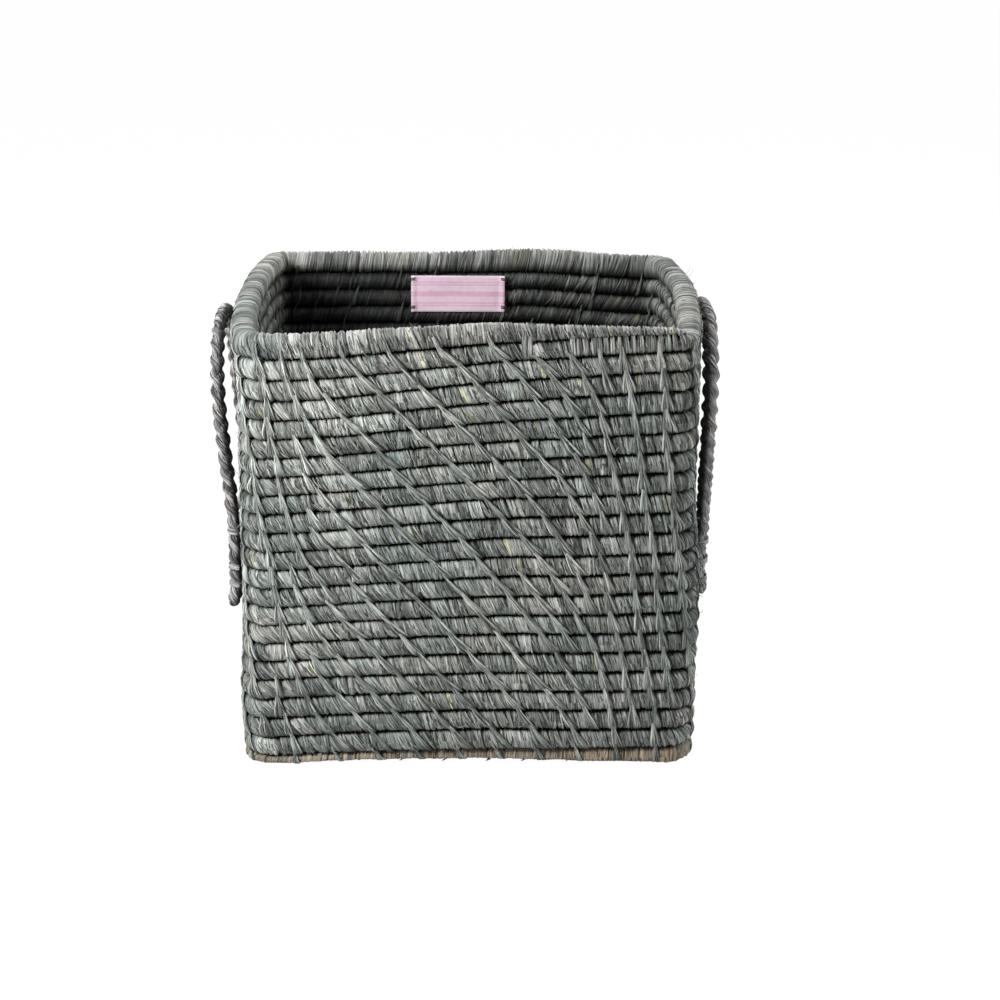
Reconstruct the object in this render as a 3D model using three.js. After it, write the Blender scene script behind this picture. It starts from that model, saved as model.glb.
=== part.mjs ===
// A square basket of coiled raffia with two plaited loop handles, in millimetres.
// Z is up, the front faces -Y, and the basket stands on z = 0 with its middle over the origin.
// One cord spirals out over the floor, climbs onto itself and winds up the wall to a thicker rim.

import * as THREE from "three";

// Gap kept between pieces that touch, and between a turn of the cord and the one it lies on
const touchGap = 0.3;
const turnGap = 0.35;

// Wall coil: rows are counted from the first one above the floor coil
const wallRows = 21;
const coilHalfWidth = 5.4;
const coilHalfHeight = 4.8;
const rowGap = 0.8;
const rowPitch = 2 * coilHalfHeight + rowGap;
const bottomHalfSpan = 120.8;
const rimHalfSpan = 124;
const bottomCornerRadius = 10;
const rimCornerRadius = 12;

// How far the corners lie inside the lines of the sides, which bow out between them
const bottomCornerInset = 2.3;
const rimCornerInset = 4.5;

// Share of a row's climb that has moved from the back of the basket to its front left by the rim
const climbDrift = 0.78;

// Rim: the thick end of the cord, and the thin tail it ends in
const rimHalfWidth = 6.4;
const rimHalfHeight = 6.2;
const tailHalfWidth = 3.2;
const tailHalfHeight = 2.4;

// Floor coil: as many turns as fit between the corners, with the cord's end curled up in the middle
const floorHalfSpan = bottomHalfSpan - bottomCornerInset;
const floorHalfWidth = 4.8;
const floorHalfHeight = 5.4;
const floorTurnGap = 1.4;
const floorMiddleSpan = 2.2;
const floorMiddleHole = 0.5;
const floorFirstTurn = 0.2;
const floorRoundTurns = 1;
const floorMiddleCornerRadius = 13;
const floorRoundestCorner = 0.75;
const floorCornerSwell = 1.9;
const floorTurns = Math.round(floorHalfSpan / (2 * floorHalfWidth + floorTurnGap) + floorFirstTurn);
const floorPitch = floorHalfSpan / (floorTurns - floorFirstTurn);

// The cord is pressed flat where the basket stands: a tenth of its diameter
const restCut = (2 * floorHalfHeight) / 10;

// Loop handles, one on each side wall
const ropeRadius = 4.2;
const handleLegSpacing = 110;
const handleTopLength = 20;
const handleLeanHalfWaves = 0.5;
const handleClearance = 0.5;
const leftHandleLean = 5;
const rightHandleLean = 2.6;
const leftLoopRise = 105.5;
const rightLoopRise = 116;

// Sewn ends of the handles: the rope lies flattened on the wall under three raffia bindings
const sewnHalfThickness = 3.6;
const sewnHalfWidth = 4.6;
const leftTailLength = 14;
const rightTailLength = 9;
const bindingThickness = 1.2;
const bindingHeight = 3.6;
const leftBindingRows = [7, 8, 10];
const rightBindingRows = [7, 8, 9];

// Woven label on the inside of the back wall, held by a thread at each corner
const labelWidth = 58;
const labelHeight = 22.6;
const labelThickness = 1;
const labelFoldWidth = 3;
const labelFoldThickness = 1.8;
const labelOffset = -5.7;
const labelBelowRim = 1.6;
const threadSize = 0.7;
const threadReach = 2.2;
const threadInset = 2.5;

// Steps of one loop: each side has its straight and then its corner
const straightSteps = 3;
const cornerSteps = 3;
const sideSteps = straightSteps + cornerSteps;
const loopSteps = 4 * sideSteps;

// The floor coil becomes the wall coil at this step of the back straight
const junctionStep = 2;

// The rows climb over the first steps of the front straight
const climbStartStep = 2 * sideSteps;
const climbEndStep = climbStartStep + 2;

// The tail thins out after the climb, over the start of the rim, which thickens once the tail has ended
const rimStartStep = climbEndStep + 0.3;
const tailStartStep = climbEndStep;
const tailEndStep = tailStartStep + 2;
const rimGrowthStart = tailEndStep + 1;
const rimGrowthEnd = rimGrowthStart + 2;

const floorCentreHeight = floorHalfHeight - restCut;
const firstRowBottom = floorCentreHeight + floorHalfHeight + turnGap;

const raffia = new THREE.MeshStandardMaterial({ color: 0x7c817b, roughness: 0.85, metalness: 0 });
const rimRaffia = new THREE.MeshStandardMaterial({ color: 0x999c95, roughness: 0.85, metalness: 0 });
const naturalRaffia = new THREE.MeshStandardMaterial({ color: 0x92887a, roughness: 0.9, metalness: 0 });
const ropeRaffia = new THREE.MeshStandardMaterial({ color: 0x827f7d, roughness: 0.88, metalness: 0 });
const bindingRaffia = new THREE.MeshStandardMaterial({ color: 0xa5a3a6, roughness: 0.85, metalness: 0 });
const satin = new THREE.MeshStandardMaterial({ color: 0xe1c2d5, roughness: 0.4, metalness: 0 });
const darkThread = new THREE.MeshStandardMaterial({ color: 0x2b2d2b, roughness: 0.9, metalness: 0 });

const basket = new THREE.Group();

function addMesh(parent, name, geometry, material) {
  const mesh = new THREE.Mesh(geometry, material.clone());
  mesh.name = name;
  parent.add(mesh);
  return mesh;
}

// Tubes: a station gives a section's centre, its two half axes and how much its underside is cut

const cordSection = [
  [1, 0],
  [0.5, 1],
  [-0.5, 1],
  [-1, 0],
  [-0.5, -1],
  [0.5, -1],
];

const ropeSides = 8;
const ropeSection = [];
for (let i = 0; i < ropeSides; i++) {
  const angle = (2 * Math.PI * i) / ropeSides;
  ropeSection.push([Math.cos(angle), Math.sin(angle)]);
}

function ringOf(station, section) {
  return section.map(([a, b]) => {
    const lift = Math.max(b * station.halfUp, -station.halfUp + (station.cut ?? 0));
    return station.centre
      .clone()
      .addScaledVector(station.across, a * station.halfAcross)
      .addScaledVector(station.up, lift);
  });
}

function tube(stations, section) {
  const rings = stations.map((station) => ringOf(station, section));
  const sides = section.length;
  const positions = rings.flat().flatMap((p) => [p.x, p.y, p.z]);
  const index = [];
  for (let r = 0; r + 1 < rings.length; r++) {
    for (let s = 0; s < sides; s++) {
      const here = r * sides + s;
      const beside = r * sides + ((s + 1) % sides);
      index.push(here, beside, here + sides);
      index.push(beside, beside + sides, here + sides);
    }
  }
  const last = (rings.length - 1) * sides;
  for (let s = 1; s + 1 < sides; s++) {
    index.push(0, s + 1, s);
    index.push(last, last + s, last + s + 1);
  }
  const geometry = new THREE.BufferGeometry();
  geometry.setAttribute("position", new THREE.Float32BufferAttribute(positions, 3));
  geometry.setIndex(index);
  geometry.computeVertexNormals();
  return geometry;
}

// The least distance between points of one tube that are half a loop or more apart along it
function leastOwnGap(name, stations, ringsPerLoop) {
  const rings = stations.map((station) => ringOf(station, cordSection));
  let least = Infinity;
  for (let i = 0; i < rings.length; i++) {
    for (let j = i + Math.round(ringsPerLoop / 2); j < rings.length; j++) {
      for (const p of rings[i]) {
        for (const q of rings[j]) {
          least = Math.min(least, p.distanceTo(q));
        }
      }
    }
  }
  console.log(name + " least gap to itself " + least.toFixed(2) + " mm");
}

// The route of the cord: a rounded square walked anticlockwise from the start of the back straight.
// The middle step of each side lies on its full span, and the steps beside it slant in to the corners.

const upwards = new THREE.Vector3(0, 0, 1);

function onRoundedSquare(step, halfSpan, cornerRadius, cornerInset) {
  const side = Math.floor(step / sideSteps);
  const local = step - side * sideSteps;
  const straightHalf = halfSpan - cornerInset - cornerRadius;
  const point = new THREE.Vector3();
  const outward = new THREE.Vector3();
  if (local <= straightSteps) {
    const fromMiddle = Math.abs(1 - (2 * local) / straightSteps);
    const inset = cornerInset * ramp(fromMiddle, 1 / straightSteps, 1);
    point.set(straightHalf * (1 - (2 * local) / straightSteps), halfSpan - inset, 0);
    outward.set(0, 1, 0);
  } else {
    const angle = (Math.PI / 2) * (1 + (local - straightSteps) / cornerSteps);
    outward.set(Math.cos(angle), Math.sin(angle), 0);
    point.set(-straightHalf, straightHalf, 0).addScaledVector(outward, cornerRadius);
  }
  const turn = (side * Math.PI) / 2;
  return { point: point.applyAxisAngle(upwards, turn), outward: outward.applyAxisAngle(upwards, turn) };
}

// From 0 before one step to 1 after another
function ramp(value, from, to) {
  return THREE.MathUtils.clamp((value - from) / (to - from), 0, 1);
}

// Whole loops and the step within the loop, counted from the start of the back straight
function loopAndStep(turns) {
  const loop = Math.floor(turns + 1e-9);
  return { loop, step: (turns - loop) * loopSteps + junctionStep };
}

// Wall and rim coils: turns are counted from the junction

function wallSpan(turns) {
  return THREE.MathUtils.lerp(bottomHalfSpan, rimHalfSpan, turns / wallRows);
}

function wallCorner(turns) {
  return THREE.MathUtils.lerp(bottomCornerRadius, rimCornerRadius, turns / wallRows);
}

function wallCornerInset(turns) {
  return THREE.MathUtils.lerp(bottomCornerInset, rimCornerInset, turns / wallRows);
}

// Underside of the row: it climbs one pitch a loop, partly at the back and partly at the front left
function rowBottom(turns) {
  const { loop, step } = loopAndStep(turns);
  const drift = (climbDrift * turns) / wallRows;
  const backClimb = ramp(step, loopSteps, loopSteps + 1);
  const frontClimb = ramp(step, climbStartStep, climbEndStep);
  return firstRowBottom + rowPitch * (loop + (1 - drift) * backClimb + drift * frontClimb);
}

function rowStation(turns, halfWidth, halfHeight) {
  const { step } = loopAndStep(turns);
  const { point, outward } = onRoundedSquare(
    step,
    wallSpan(turns),
    wallCorner(turns),
    wallCornerInset(turns),
  );
  point.z = rowBottom(turns) + halfHeight;
  return { centre: point, across: outward.negate(), up: upwards, halfAcross: halfWidth, halfUp: halfHeight };
}

// The turns at a step, counted from the start of the back straight, of a numbered loop
function turnsAt(loop, step) {
  return loop + (step - junctionStep) / loopSteps;
}

// The whole steps between two places on the coil, with both ends
function stepsBetween(from, to) {
  const first = Math.floor(from * loopSteps + 1e-6) + 1;
  const turns = [from];
  for (let step = first; step / loopSteps < to - 1e-6; step++) {
    turns.push(step / loopSteps);
  }
  turns.push(to);
  return turns;
}

function straightStepLength(turns) {
  return (2 * (wallSpan(turns) - wallCornerInset(turns) - wallCorner(turns))) / straightSteps;
}

const wallEnd = turnsAt(wallRows - 1, rimStartStep);
const rimStart = wallEnd + touchGap / straightStepLength(wallEnd) / loopSteps;
const rimEnd = turnsAt(wallRows, tailEndStep);

const wallStations = stepsBetween(0, wallEnd).map((turns) =>
  rowStation(turns, coilHalfWidth, coilHalfHeight),
);
leastOwnGap("wall_coil", wallStations, loopSteps);
addMesh(basket, "wall_coil", tube(wallStations, cordSection), raffia);

function rimStation(turns) {
  const grown = ramp(turns, turnsAt(wallRows - 1, rimGrowthStart), turnsAt(wallRows - 1, rimGrowthEnd));
  const tail = ramp(turns, turnsAt(wallRows, tailStartStep), rimEnd);
  const fullWidth = THREE.MathUtils.lerp(coilHalfWidth, rimHalfWidth, grown);
  const fullHeight = THREE.MathUtils.lerp(coilHalfHeight, rimHalfHeight, grown);
  return rowStation(
    turns,
    THREE.MathUtils.lerp(fullWidth, tailHalfWidth, tail),
    THREE.MathUtils.lerp(fullHeight, tailHalfHeight, tail),
  );
}

const rimStations = stepsBetween(rimStart, rimEnd).map(rimStation);
leastOwnGap("rim_coil", rimStations, loopSteps);
addMesh(basket, "rim_coil", tube(rimStations, cordSection), rimRaffia);

// Floor coil: a spiral whose outward shift gathers on the back straight as it grows square.
// Its last turn is the lowest row of the outside, and it ends by climbing onto its own start.

const floorClimbStart = floorTurns + 1 - 2 / loopSteps;
const floorClimbEnd = floorTurns + 1 - 1 / loopSteps;

function floorStation(turns) {
  const { loop, step } = loopAndStep(turns);
  const share = (step - junctionStep) / loopSteps;
  const gathered = ramp(turns, floorRoundTurns, floorTurns);
  const shift = ramp(step, loopSteps + junctionStep - 1, loopSteps + junctionStep);
  const passed = Math.min(loop + (1 - gathered) * share + gathered * shift, floorTurns);
  const grown = floorPitch * Math.max(passed - floorFirstTurn, 0);
  const fullSpan = Math.hypot(floorMiddleSpan, floorHalfSpan);
  const span = (Math.hypot(floorMiddleSpan, grown) * floorHalfSpan) / fullSpan;
  const corner = Math.min(
    floorRoundestCorner * span,
    THREE.MathUtils.lerp(floorMiddleCornerRadius, bottomCornerRadius, span / floorHalfSpan),
  );
  const climb = ramp(turns, floorClimbStart, floorClimbEnd);
  const halfWidth = Math.min(floorHalfWidth, span - floorMiddleHole);
  const halfHeight = THREE.MathUtils.lerp(floorHalfHeight, coilHalfHeight, climb);
  const inset = bottomCornerInset * climb;
  const { point, outward } = onRoundedSquare(step, span + inset, corner, inset);
  const local = step % sideSteps;
  const bend = Math.sin((Math.PI * Math.max(local - straightSteps, 0)) / cornerSteps);
  const swell = floorCornerSwell * bend * ramp(turns, floorRoundTurns, floorRoundTurns + 1);
  point.addScaledVector(outward, -swell);
  point.z = THREE.MathUtils.lerp(floorCentreHeight, firstRowBottom + coilHalfHeight, climb);
  return {
    centre: point,
    across: outward.negate(),
    up: upwards,
    halfAcross: halfWidth + swell,
    halfUp: halfHeight,
    cut: restCut,
  };
}

// Only the back straight, where the shift and the climb lie, needs rings between its ends
function floorHasRing(turns) {
  const { step } = loopAndStep(turns);
  const local = Math.round(step) % sideSteps;
  const onBack = Math.round(step) % loopSteps <= straightSteps;
  return onBack || local === 0 || local >= straightSteps;
}

const floorEnd = floorTurns + 1 - touchGap / straightStepLength(0) / loopSteps;
const floorStations = stepsBetween(0, floorEnd).filter(floorHasRing).map(floorStation);
leastOwnGap("base_coil", floorStations, loopSteps - 2 * straightSteps);
addMesh(basket, "base_coil", tube(floorStations, cordSection), naturalRaffia);

// Handles: each is drawn for the right wall, in a group turned to its side

// Outside of the wall in the middle of a side
function wallFace(height) {
  return wallSpan((height - firstRowBottom) / rowPitch) + coilHalfWidth;
}

// Outside of the wall behind a handle's leg, where the side slants in
function legFace(height) {
  const turns = (height - firstRowBottom) / rowPitch;
  const inset = wallCornerInset(turns);
  const fromMiddle = handleLegSpacing / 2 / (wallSpan(turns) - inset - wallCorner(turns));
  return wallFace(height) - inset * ramp(fromMiddle, 1 / straightSteps, 1);
}

// Legs of rope at a handle's two ends, from the tail up to the loop's hinge line

function sewnLeg(y, bottom, top) {
  const roundSteps = 3;
  const tipScale = 0.25;
  const heights = [{ z: bottom, scale: tipScale }];
  for (let i = 1; i <= roundSteps; i++) {
    const angle = (Math.PI / 2) * (1 - i / roundSteps);
    heights.push({ z: bottom + sewnHalfWidth * (1 - Math.sin(angle)), scale: Math.cos(angle) });
  }
  heights.push({ z: top, scale: 1 });
  const stations = heights.map(({ z, scale }) => ({
    centre: new THREE.Vector3(legFace(z) + touchGap + sewnHalfThickness, y, z),
    across: new THREE.Vector3(1, 0, 0),
    up: new THREE.Vector3(0, 1, 0),
    halfAcross: sewnHalfThickness * scale,
    halfUp: sewnHalfWidth * scale,
  }));
  return tube(stations, ropeSection);
}

// A binding is a saddle of raffia round the rope, with both feet on the wall
function bindingSaddle() {
  const middle = touchGap + sewnHalfThickness;
  const innerThick = sewnHalfThickness + touchGap;
  const innerWide = sewnHalfWidth + touchGap;
  const outerThick = innerThick + bindingThickness;
  const outerWide = innerWide + bindingThickness;
  const saddle = new THREE.Shape();
  saddle.moveTo(touchGap, -outerWide);
  saddle.lineTo(middle, -outerWide);
  saddle.absellipse(middle, 0, outerThick, outerWide, -Math.PI / 2, Math.PI / 2, false);
  saddle.lineTo(touchGap, outerWide);
  saddle.lineTo(touchGap, innerWide);
  saddle.lineTo(middle, innerWide);
  saddle.absellipse(middle, 0, innerThick, innerWide, Math.PI / 2, -Math.PI / 2, true);
  saddle.lineTo(touchGap, -innerWide);
  saddle.closePath();
  return new THREE.ExtrudeGeometry(saddle, { depth: bindingHeight, bevelEnabled: false, curveSegments: 5 });
}

// How far the rope stands out from the hinge line, at a share of the loop's rise.
// It leans out, and follows the slope of the wall.
function standOff(share, rise, lean, hingeHeight) {
  const leaning = lean * Math.sin(handleLeanHalfWaves * Math.PI * share);
  return leaning + legFace(hingeHeight + share * rise) - legFace(hingeHeight);
}

// The loop: two legs and a round-cornered top, with ball ends on the hinge line
function loopStations(rise, lean, hingeHeight) {
  const half = handleLegSpacing / 2;
  const legSteps = 4;
  const bendSteps = 8;
  const ballSteps = 3;
  const cornerRadius = half - handleTopLength / 2;
  const legRise = rise - cornerRadius;
  const path = [];
  for (let i = 0; i < legSteps; i++) {
    path.push([-half, (legRise * i) / legSteps]);
  }
  for (let i = 0; i <= bendSteps; i++) {
    const angle = (Math.PI / 2) * (i / bendSteps);
    const y = -half + cornerRadius * (1 - Math.cos(angle));
    path.push([y, legRise + cornerRadius * Math.sin(angle)]);
  }
  const whole = [...path, ...path.map(([y, z]) => [-y, z]).reverse()];
  const points = whole.map(([y, z]) => {
    return new THREE.Vector3(standOff(z / rise, rise, lean, hingeHeight), y, z);
  });
  const stations = points.map((centre, i) => {
    const before = points[Math.max(i - 1, 0)];
    const after = points[Math.min(i + 1, points.length - 1)];
    const along = after.clone().sub(before).normalize();
    if (i === 0) along.set(0, 0, 1);
    if (i === points.length - 1) along.set(0, 0, -1);
    const up = new THREE.Vector3(1, 0, 0).addScaledVector(along, -along.x).normalize();
    const across = up.clone().cross(along);
    return { centre, across, up, halfAcross: ropeRadius, halfUp: ropeRadius };
  });
  const ballEnd = (end) => {
    const rings = [];
    for (let i = 1; i <= ballSteps; i++) {
      const angle = (Math.PI * i) / (2 * ballSteps + 1);
      const size = ropeRadius * Math.cos(angle);
      const centre = end.centre.clone().setZ(-ropeRadius * Math.sin(angle));
      rings.push({ ...end, centre, halfAcross: size, halfUp: size });
    }
    return rings;
  };
  return [...ballEnd(stations[0]).reverse(), ...stations, ...ballEnd(stations.at(-1))];
}

// The bindings are sewn through the wall in the gaps under the rows with the given numbers
function addHandle(side, turn, sideStep, { bindingRows, tailLength, rise, lean }) {
  const half = handleLegSpacing / 2;
  const bindingHeights = bindingRows.map((row) => rowBottom(turnsAt(row, sideStep)) - rowGap / 2);
  const legBottom = bindingHeights[0] - tailLength;
  const legTop = bindingHeights.at(-1) + bindingHeight / 2 + handleClearance;
  const hingeHeight = legTop + touchGap + ropeRadius;
  const hingeOffset = legFace(hingeHeight) + handleClearance + ropeRadius;

  const handle = new THREE.Group();
  handle.rotation.z = turn;
  basket.add(handle);

  const loopTube = tube(loopStations(rise, lean, hingeHeight), ropeSection);
  const loop = addMesh(handle, side + "_handle_loop", loopTube, ropeRaffia);
  loop.position.set(hingeOffset, 0, hingeHeight);
  console.log(side + " hinge at x " + hingeOffset.toFixed(2) + ", z " + hingeHeight.toFixed(2));

  const ends = turn === 0 ? ["front", "back"] : ["back", "front"];
  ends.forEach((end, i) => {
    const y = i === 0 ? -half : half;
    addMesh(handle, side + "_handle_" + end + "_end", sewnLeg(y, legBottom, legTop), ropeRaffia);
    ["lower", "middle", "upper"].forEach((place, k) => {
      const binding = addMesh(
        handle,
        side + "_" + end + "_binding_" + place,
        bindingSaddle(),
        bindingRaffia,
      );
      const bottom = bindingHeights[k] - bindingHeight / 2;
      binding.position.set(legFace(bottom + bindingHeight), y, bottom);
    });
  });
}

addHandle("left", Math.PI, sideSteps + straightSteps / 2, {
  bindingRows: leftBindingRows,
  tailLength: leftTailLength,
  rise: leftLoopRise,
  lean: leftHandleLean,
});
addHandle("right", 0, 3 * sideSteps + straightSteps / 2, {
  bindingRows: rightBindingRows,
  tailLength: rightTailLength,
  rise: rightLoopRise,
  lean: rightHandleLean,
});

// Label: a strip with folded ends, its back near the inner ridges of the back wall

const labelTop = rowBottom(wallRows) - labelBelowRim;
const labelBottom = labelTop - labelHeight;
const labelBack = wallFace(labelBottom) - 2 * coilHalfWidth - touchGap;

const labelOutline = new THREE.Shape();
const halfLabel = labelWidth / 2;
labelOutline.moveTo(-halfLabel, 0);
labelOutline.lineTo(-halfLabel, -labelFoldThickness);
labelOutline.lineTo(-halfLabel + labelFoldWidth, -labelFoldThickness);
labelOutline.lineTo(-halfLabel + labelFoldWidth, -labelThickness);
labelOutline.lineTo(halfLabel - labelFoldWidth, -labelThickness);
labelOutline.lineTo(halfLabel - labelFoldWidth, -labelFoldThickness);
labelOutline.lineTo(halfLabel, -labelFoldThickness);
labelOutline.lineTo(halfLabel, 0);
labelOutline.closePath();
const labelStrip = new THREE.ExtrudeGeometry(labelOutline, { depth: labelHeight, bevelEnabled: false });
const label = addMesh(basket, "label", labelStrip, satin);
label.position.set(labelOffset, labelBack, labelBottom);

// Corner threads: each runs over the folded end and back to the wall
function cornerThread() {
  const front = -labelFoldThickness - touchGap;
  const thread = new THREE.Shape();
  thread.moveTo(-threadReach, front);
  thread.lineTo(-threadReach, front - threadSize);
  thread.lineTo(touchGap + threadSize, front - threadSize);
  thread.lineTo(touchGap + threadSize, 0);
  thread.lineTo(touchGap, 0);
  thread.lineTo(touchGap, front);
  thread.closePath();
  return new THREE.ExtrudeGeometry(thread, { depth: threadSize, bevelEnabled: false });
}

for (const [end, sign] of [["left", -1], ["right", 1]]) {
  for (const [edge, height] of [["lower", threadInset], ["upper", labelHeight - threadInset]]) {
    const thread = addMesh(basket, "label_thread_" + edge + "_" + end, cornerThread(), darkThread);
    thread.scale.x = sign;
    thread.position.set(labelOffset + sign * halfLabel, labelBack, labelBottom + height - threadSize / 2);
  }
}

export default basket;
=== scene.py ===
"""Looks of the square coiled basket with two plaited loop handles.

Lengths are in millimetres until a mesh is made, and the frame is the CAD model's: Z up, front at -Y.
"""

import math

import bpy
import numpy as np
from mathutils import Matrix, Vector


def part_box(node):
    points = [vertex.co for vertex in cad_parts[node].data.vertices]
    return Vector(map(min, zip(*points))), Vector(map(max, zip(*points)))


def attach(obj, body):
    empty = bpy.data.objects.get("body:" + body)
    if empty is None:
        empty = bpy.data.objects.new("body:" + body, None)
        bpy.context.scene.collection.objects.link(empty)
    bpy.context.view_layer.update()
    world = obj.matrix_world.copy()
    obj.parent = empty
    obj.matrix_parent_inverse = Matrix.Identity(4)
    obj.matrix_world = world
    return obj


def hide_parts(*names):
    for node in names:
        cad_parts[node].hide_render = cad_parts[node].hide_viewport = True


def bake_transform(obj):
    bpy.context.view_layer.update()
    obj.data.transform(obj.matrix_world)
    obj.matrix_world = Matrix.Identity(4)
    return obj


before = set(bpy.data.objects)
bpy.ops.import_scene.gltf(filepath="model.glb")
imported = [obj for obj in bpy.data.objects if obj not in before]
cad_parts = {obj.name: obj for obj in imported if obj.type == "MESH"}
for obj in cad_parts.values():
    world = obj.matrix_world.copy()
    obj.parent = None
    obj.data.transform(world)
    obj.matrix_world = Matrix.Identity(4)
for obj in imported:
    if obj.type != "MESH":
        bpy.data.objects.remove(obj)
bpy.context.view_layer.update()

MM = 0.001
TAU = 2 * math.pi
UP = np.array([0.0, 0.0, 1.0])
rng = np.random.default_rng(20)

# Route of the cord, with the same sizes as in the CAD model
WALL_ROWS = 21
COIL_HALF_WIDTH = 5.4
COIL_HALF_HEIGHT = 4.8
ROW_GAP = 0.8
ROW_PITCH = 2 * COIL_HALF_HEIGHT + ROW_GAP
BOTTOM_HALF_SPAN = 120.8
RIM_HALF_SPAN = 124.0
BOTTOM_CORNER = 10.0
RIM_CORNER = 12.0
BOTTOM_INSET = 2.3
RIM_INSET = 4.5
BOW_POWER = 2.6
CLIMB_DRIFT = 0.78
RIM_HALF_WIDTH = 6.4
RIM_HALF_HEIGHT = 6.2
TAIL_HALF_WIDTH = 3.2
TAIL_HALF_HEIGHT = 2.4
FLOOR_HALF_SPAN = BOTTOM_HALF_SPAN - BOTTOM_INSET
FLOOR_HALF_WIDTH = 4.8
FLOOR_HALF_HEIGHT = 5.4
FLOOR_TURN_GAP = 1.4
FLOOR_MIDDLE_SPAN = 2.2
FLOOR_MIDDLE_HOLE = 0.5
FLOOR_FIRST_TURN = 0.2
FLOOR_MIDDLE_CORNER = 13.0
FLOOR_ROUNDEST_CORNER = 0.75
FLOOR_CORNER_SWELL = 1.9
FLOOR_TURNS = round(FLOOR_HALF_SPAN / (2 * FLOOR_HALF_WIDTH + FLOOR_TURN_GAP) + FLOOR_FIRST_TURN)
FLOOR_PITCH = FLOOR_HALF_SPAN / (FLOOR_TURNS - FLOOR_FIRST_TURN)
REST_CUT = 2 * FLOOR_HALF_HEIGHT / 10
TURN_GAP = 0.35
FLOOR_HEIGHT = FLOOR_HALF_HEIGHT - REST_CUT
FIRST_ROW_BOTTOM = FLOOR_HEIGHT + FLOOR_HALF_HEIGHT + TURN_GAP

# Steps round one loop: three along each straight and three round each corner
STRAIGHT_STEPS = 3
SIDE_STEPS = 2 * STRAIGHT_STEPS
LOOP_STEPS = 4 * SIDE_STEPS
JUNCTION_STEP = 2
CLIMB_START = 2 * SIDE_STEPS
CLIMB_END = CLIMB_START + 2
RIM_START_STEP = CLIMB_END + 0.3
TAIL_END_STEP = CLIMB_END + 2
FRONT_RIGHT_STEP = CLIMB_START + STRAIGHT_STEPS

# Hand-made wavers: the seed and the size in mm of each
WALL_BULGES = (3, 0.7)
WALL_SWAY = (4, 0.25)
ROW_WAVES = (5, 0.5)
ROW_SWAY = (6, 0.16)
ROW_SWELL = (7, 0.15)
FLOOR_SWELL = (8, 0.15)
FLOOR_SWAY = (9, 0.22)
FOOT_ROUGHNESS = (12, 0.35)


def ramp(value, low, high):
    return np.clip((value - low) / (high - low), 0, 1)


def smooth(value, low, high):
    t = ramp(value, low, high)
    return t * t * (3 - 2 * t)


def between(value, start, full, fading, end):
    """Rises smoothly from start to full, and falls again from fading to end."""
    return smooth(value, start, full) * (1 - smooth(value, fading, end))


def hump(value, low, high):
    """Half a wave: nought at both ends."""
    return np.sin(math.pi * ramp(value, low, high))


def lerp(a, b, t):
    return a + (b - a) * t


def on_rounded_square(step, half_span, corner, inset):
    """Place and outward direction at a step, walked anticlockwise from the start of the back straight.

    The corners lie inside the lines of the sides, which bow out between them.
    """
    side = np.floor(step / SIDE_STEPS)
    local = step - side * SIDE_STEPS
    along = ramp(local, 0, STRAIGHT_STEPS)
    angle = math.pi / 2 * (1 + ramp(local, STRAIGHT_STEPS, SIDE_STEPS))
    straight = half_span - inset - corner
    bow = inset * (1 - np.abs(1 - 2 * along) ** BOW_POWER)
    x = straight * (1 - 2 * along) + corner * np.cos(angle)
    y = straight + corner * np.sin(angle) + bow
    turn = side * math.pi / 2
    c, s = np.cos(turn), np.sin(turn)
    place = np.stack([x * c - y * s, x * s + y * c], -1)
    out = np.stack([np.cos(angle + turn), np.sin(angle + turn)], -1)
    return place, out


def loop_and_step(turns):
    loop = np.floor(turns + 1e-9)
    return loop, (turns - loop) * LOOP_STEPS + JUNCTION_STEP


def side_step(turns):
    """Steps from the start of the side a place lies on: along its straight, then round its corner."""
    return loop_and_step(np.asarray(turns, float))[1] % SIDE_STEPS


def turns_at(loop, step):
    return loop + (step - JUNCTION_STEP) / LOOP_STEPS


# Ends of the rim, and where its thickness changes
wall_end = turns_at(WALL_ROWS - 1, RIM_START_STEP)
rim_end = turns_at(WALL_ROWS, TAIL_END_STEP)
RIM_GROWTH = (turns_at(WALL_ROWS - 1, TAIL_END_STEP + 1), turns_at(WALL_ROWS - 1, TAIL_END_STEP + 3))
TAIL_THINNING = (turns_at(WALL_ROWS, CLIMB_END - 0.35), turns_at(WALL_ROWS, CLIMB_END + 1.1))
TIP_THINNING = (turns_at(WALL_ROWS, TAIL_END_STEP - 0.6), rim_end)
TIP_LOSS = 0.55


def wall_plan(turns):
    """The wall's half span, corner radius and corner inset, which change evenly from foot to rim."""
    share = turns / WALL_ROWS
    ends = ((BOTTOM_HALF_SPAN, RIM_HALF_SPAN), (BOTTOM_CORNER, RIM_CORNER), (BOTTOM_INSET, RIM_INSET))
    return [lerp(bottom, rim, share) for bottom, rim in ends]


def row_bottom(turns):
    loop, step = loop_and_step(turns)
    drift = CLIMB_DRIFT * turns / WALL_ROWS
    back = smooth(step, LOOP_STEPS, LOOP_STEPS + 1)
    front = smooth(step, CLIMB_START, CLIMB_END)
    return FIRST_ROW_BOTTOM + ROW_PITCH * (loop + (1 - drift) * back + drift * front)


# Greatest rises and drops of the hand-made rows
FRONT_LIFT = 1.5
RIGHT_LIFT = 6.6
LEFT_DROP = 3.0
LEFT_FOOT_DROP = 2.4
BACK_RIM_LIFT = 2.2

# How far the hand-made wall stands out, or is pressed in, in its four uneven places
BACK_RIGHT_BULGE = 3.2
FRONT_RIGHT_DENT = 3.3
FRONT_LEFT_DENT = 1.4
FOOT_CORNER_DENT = 1.6


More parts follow.
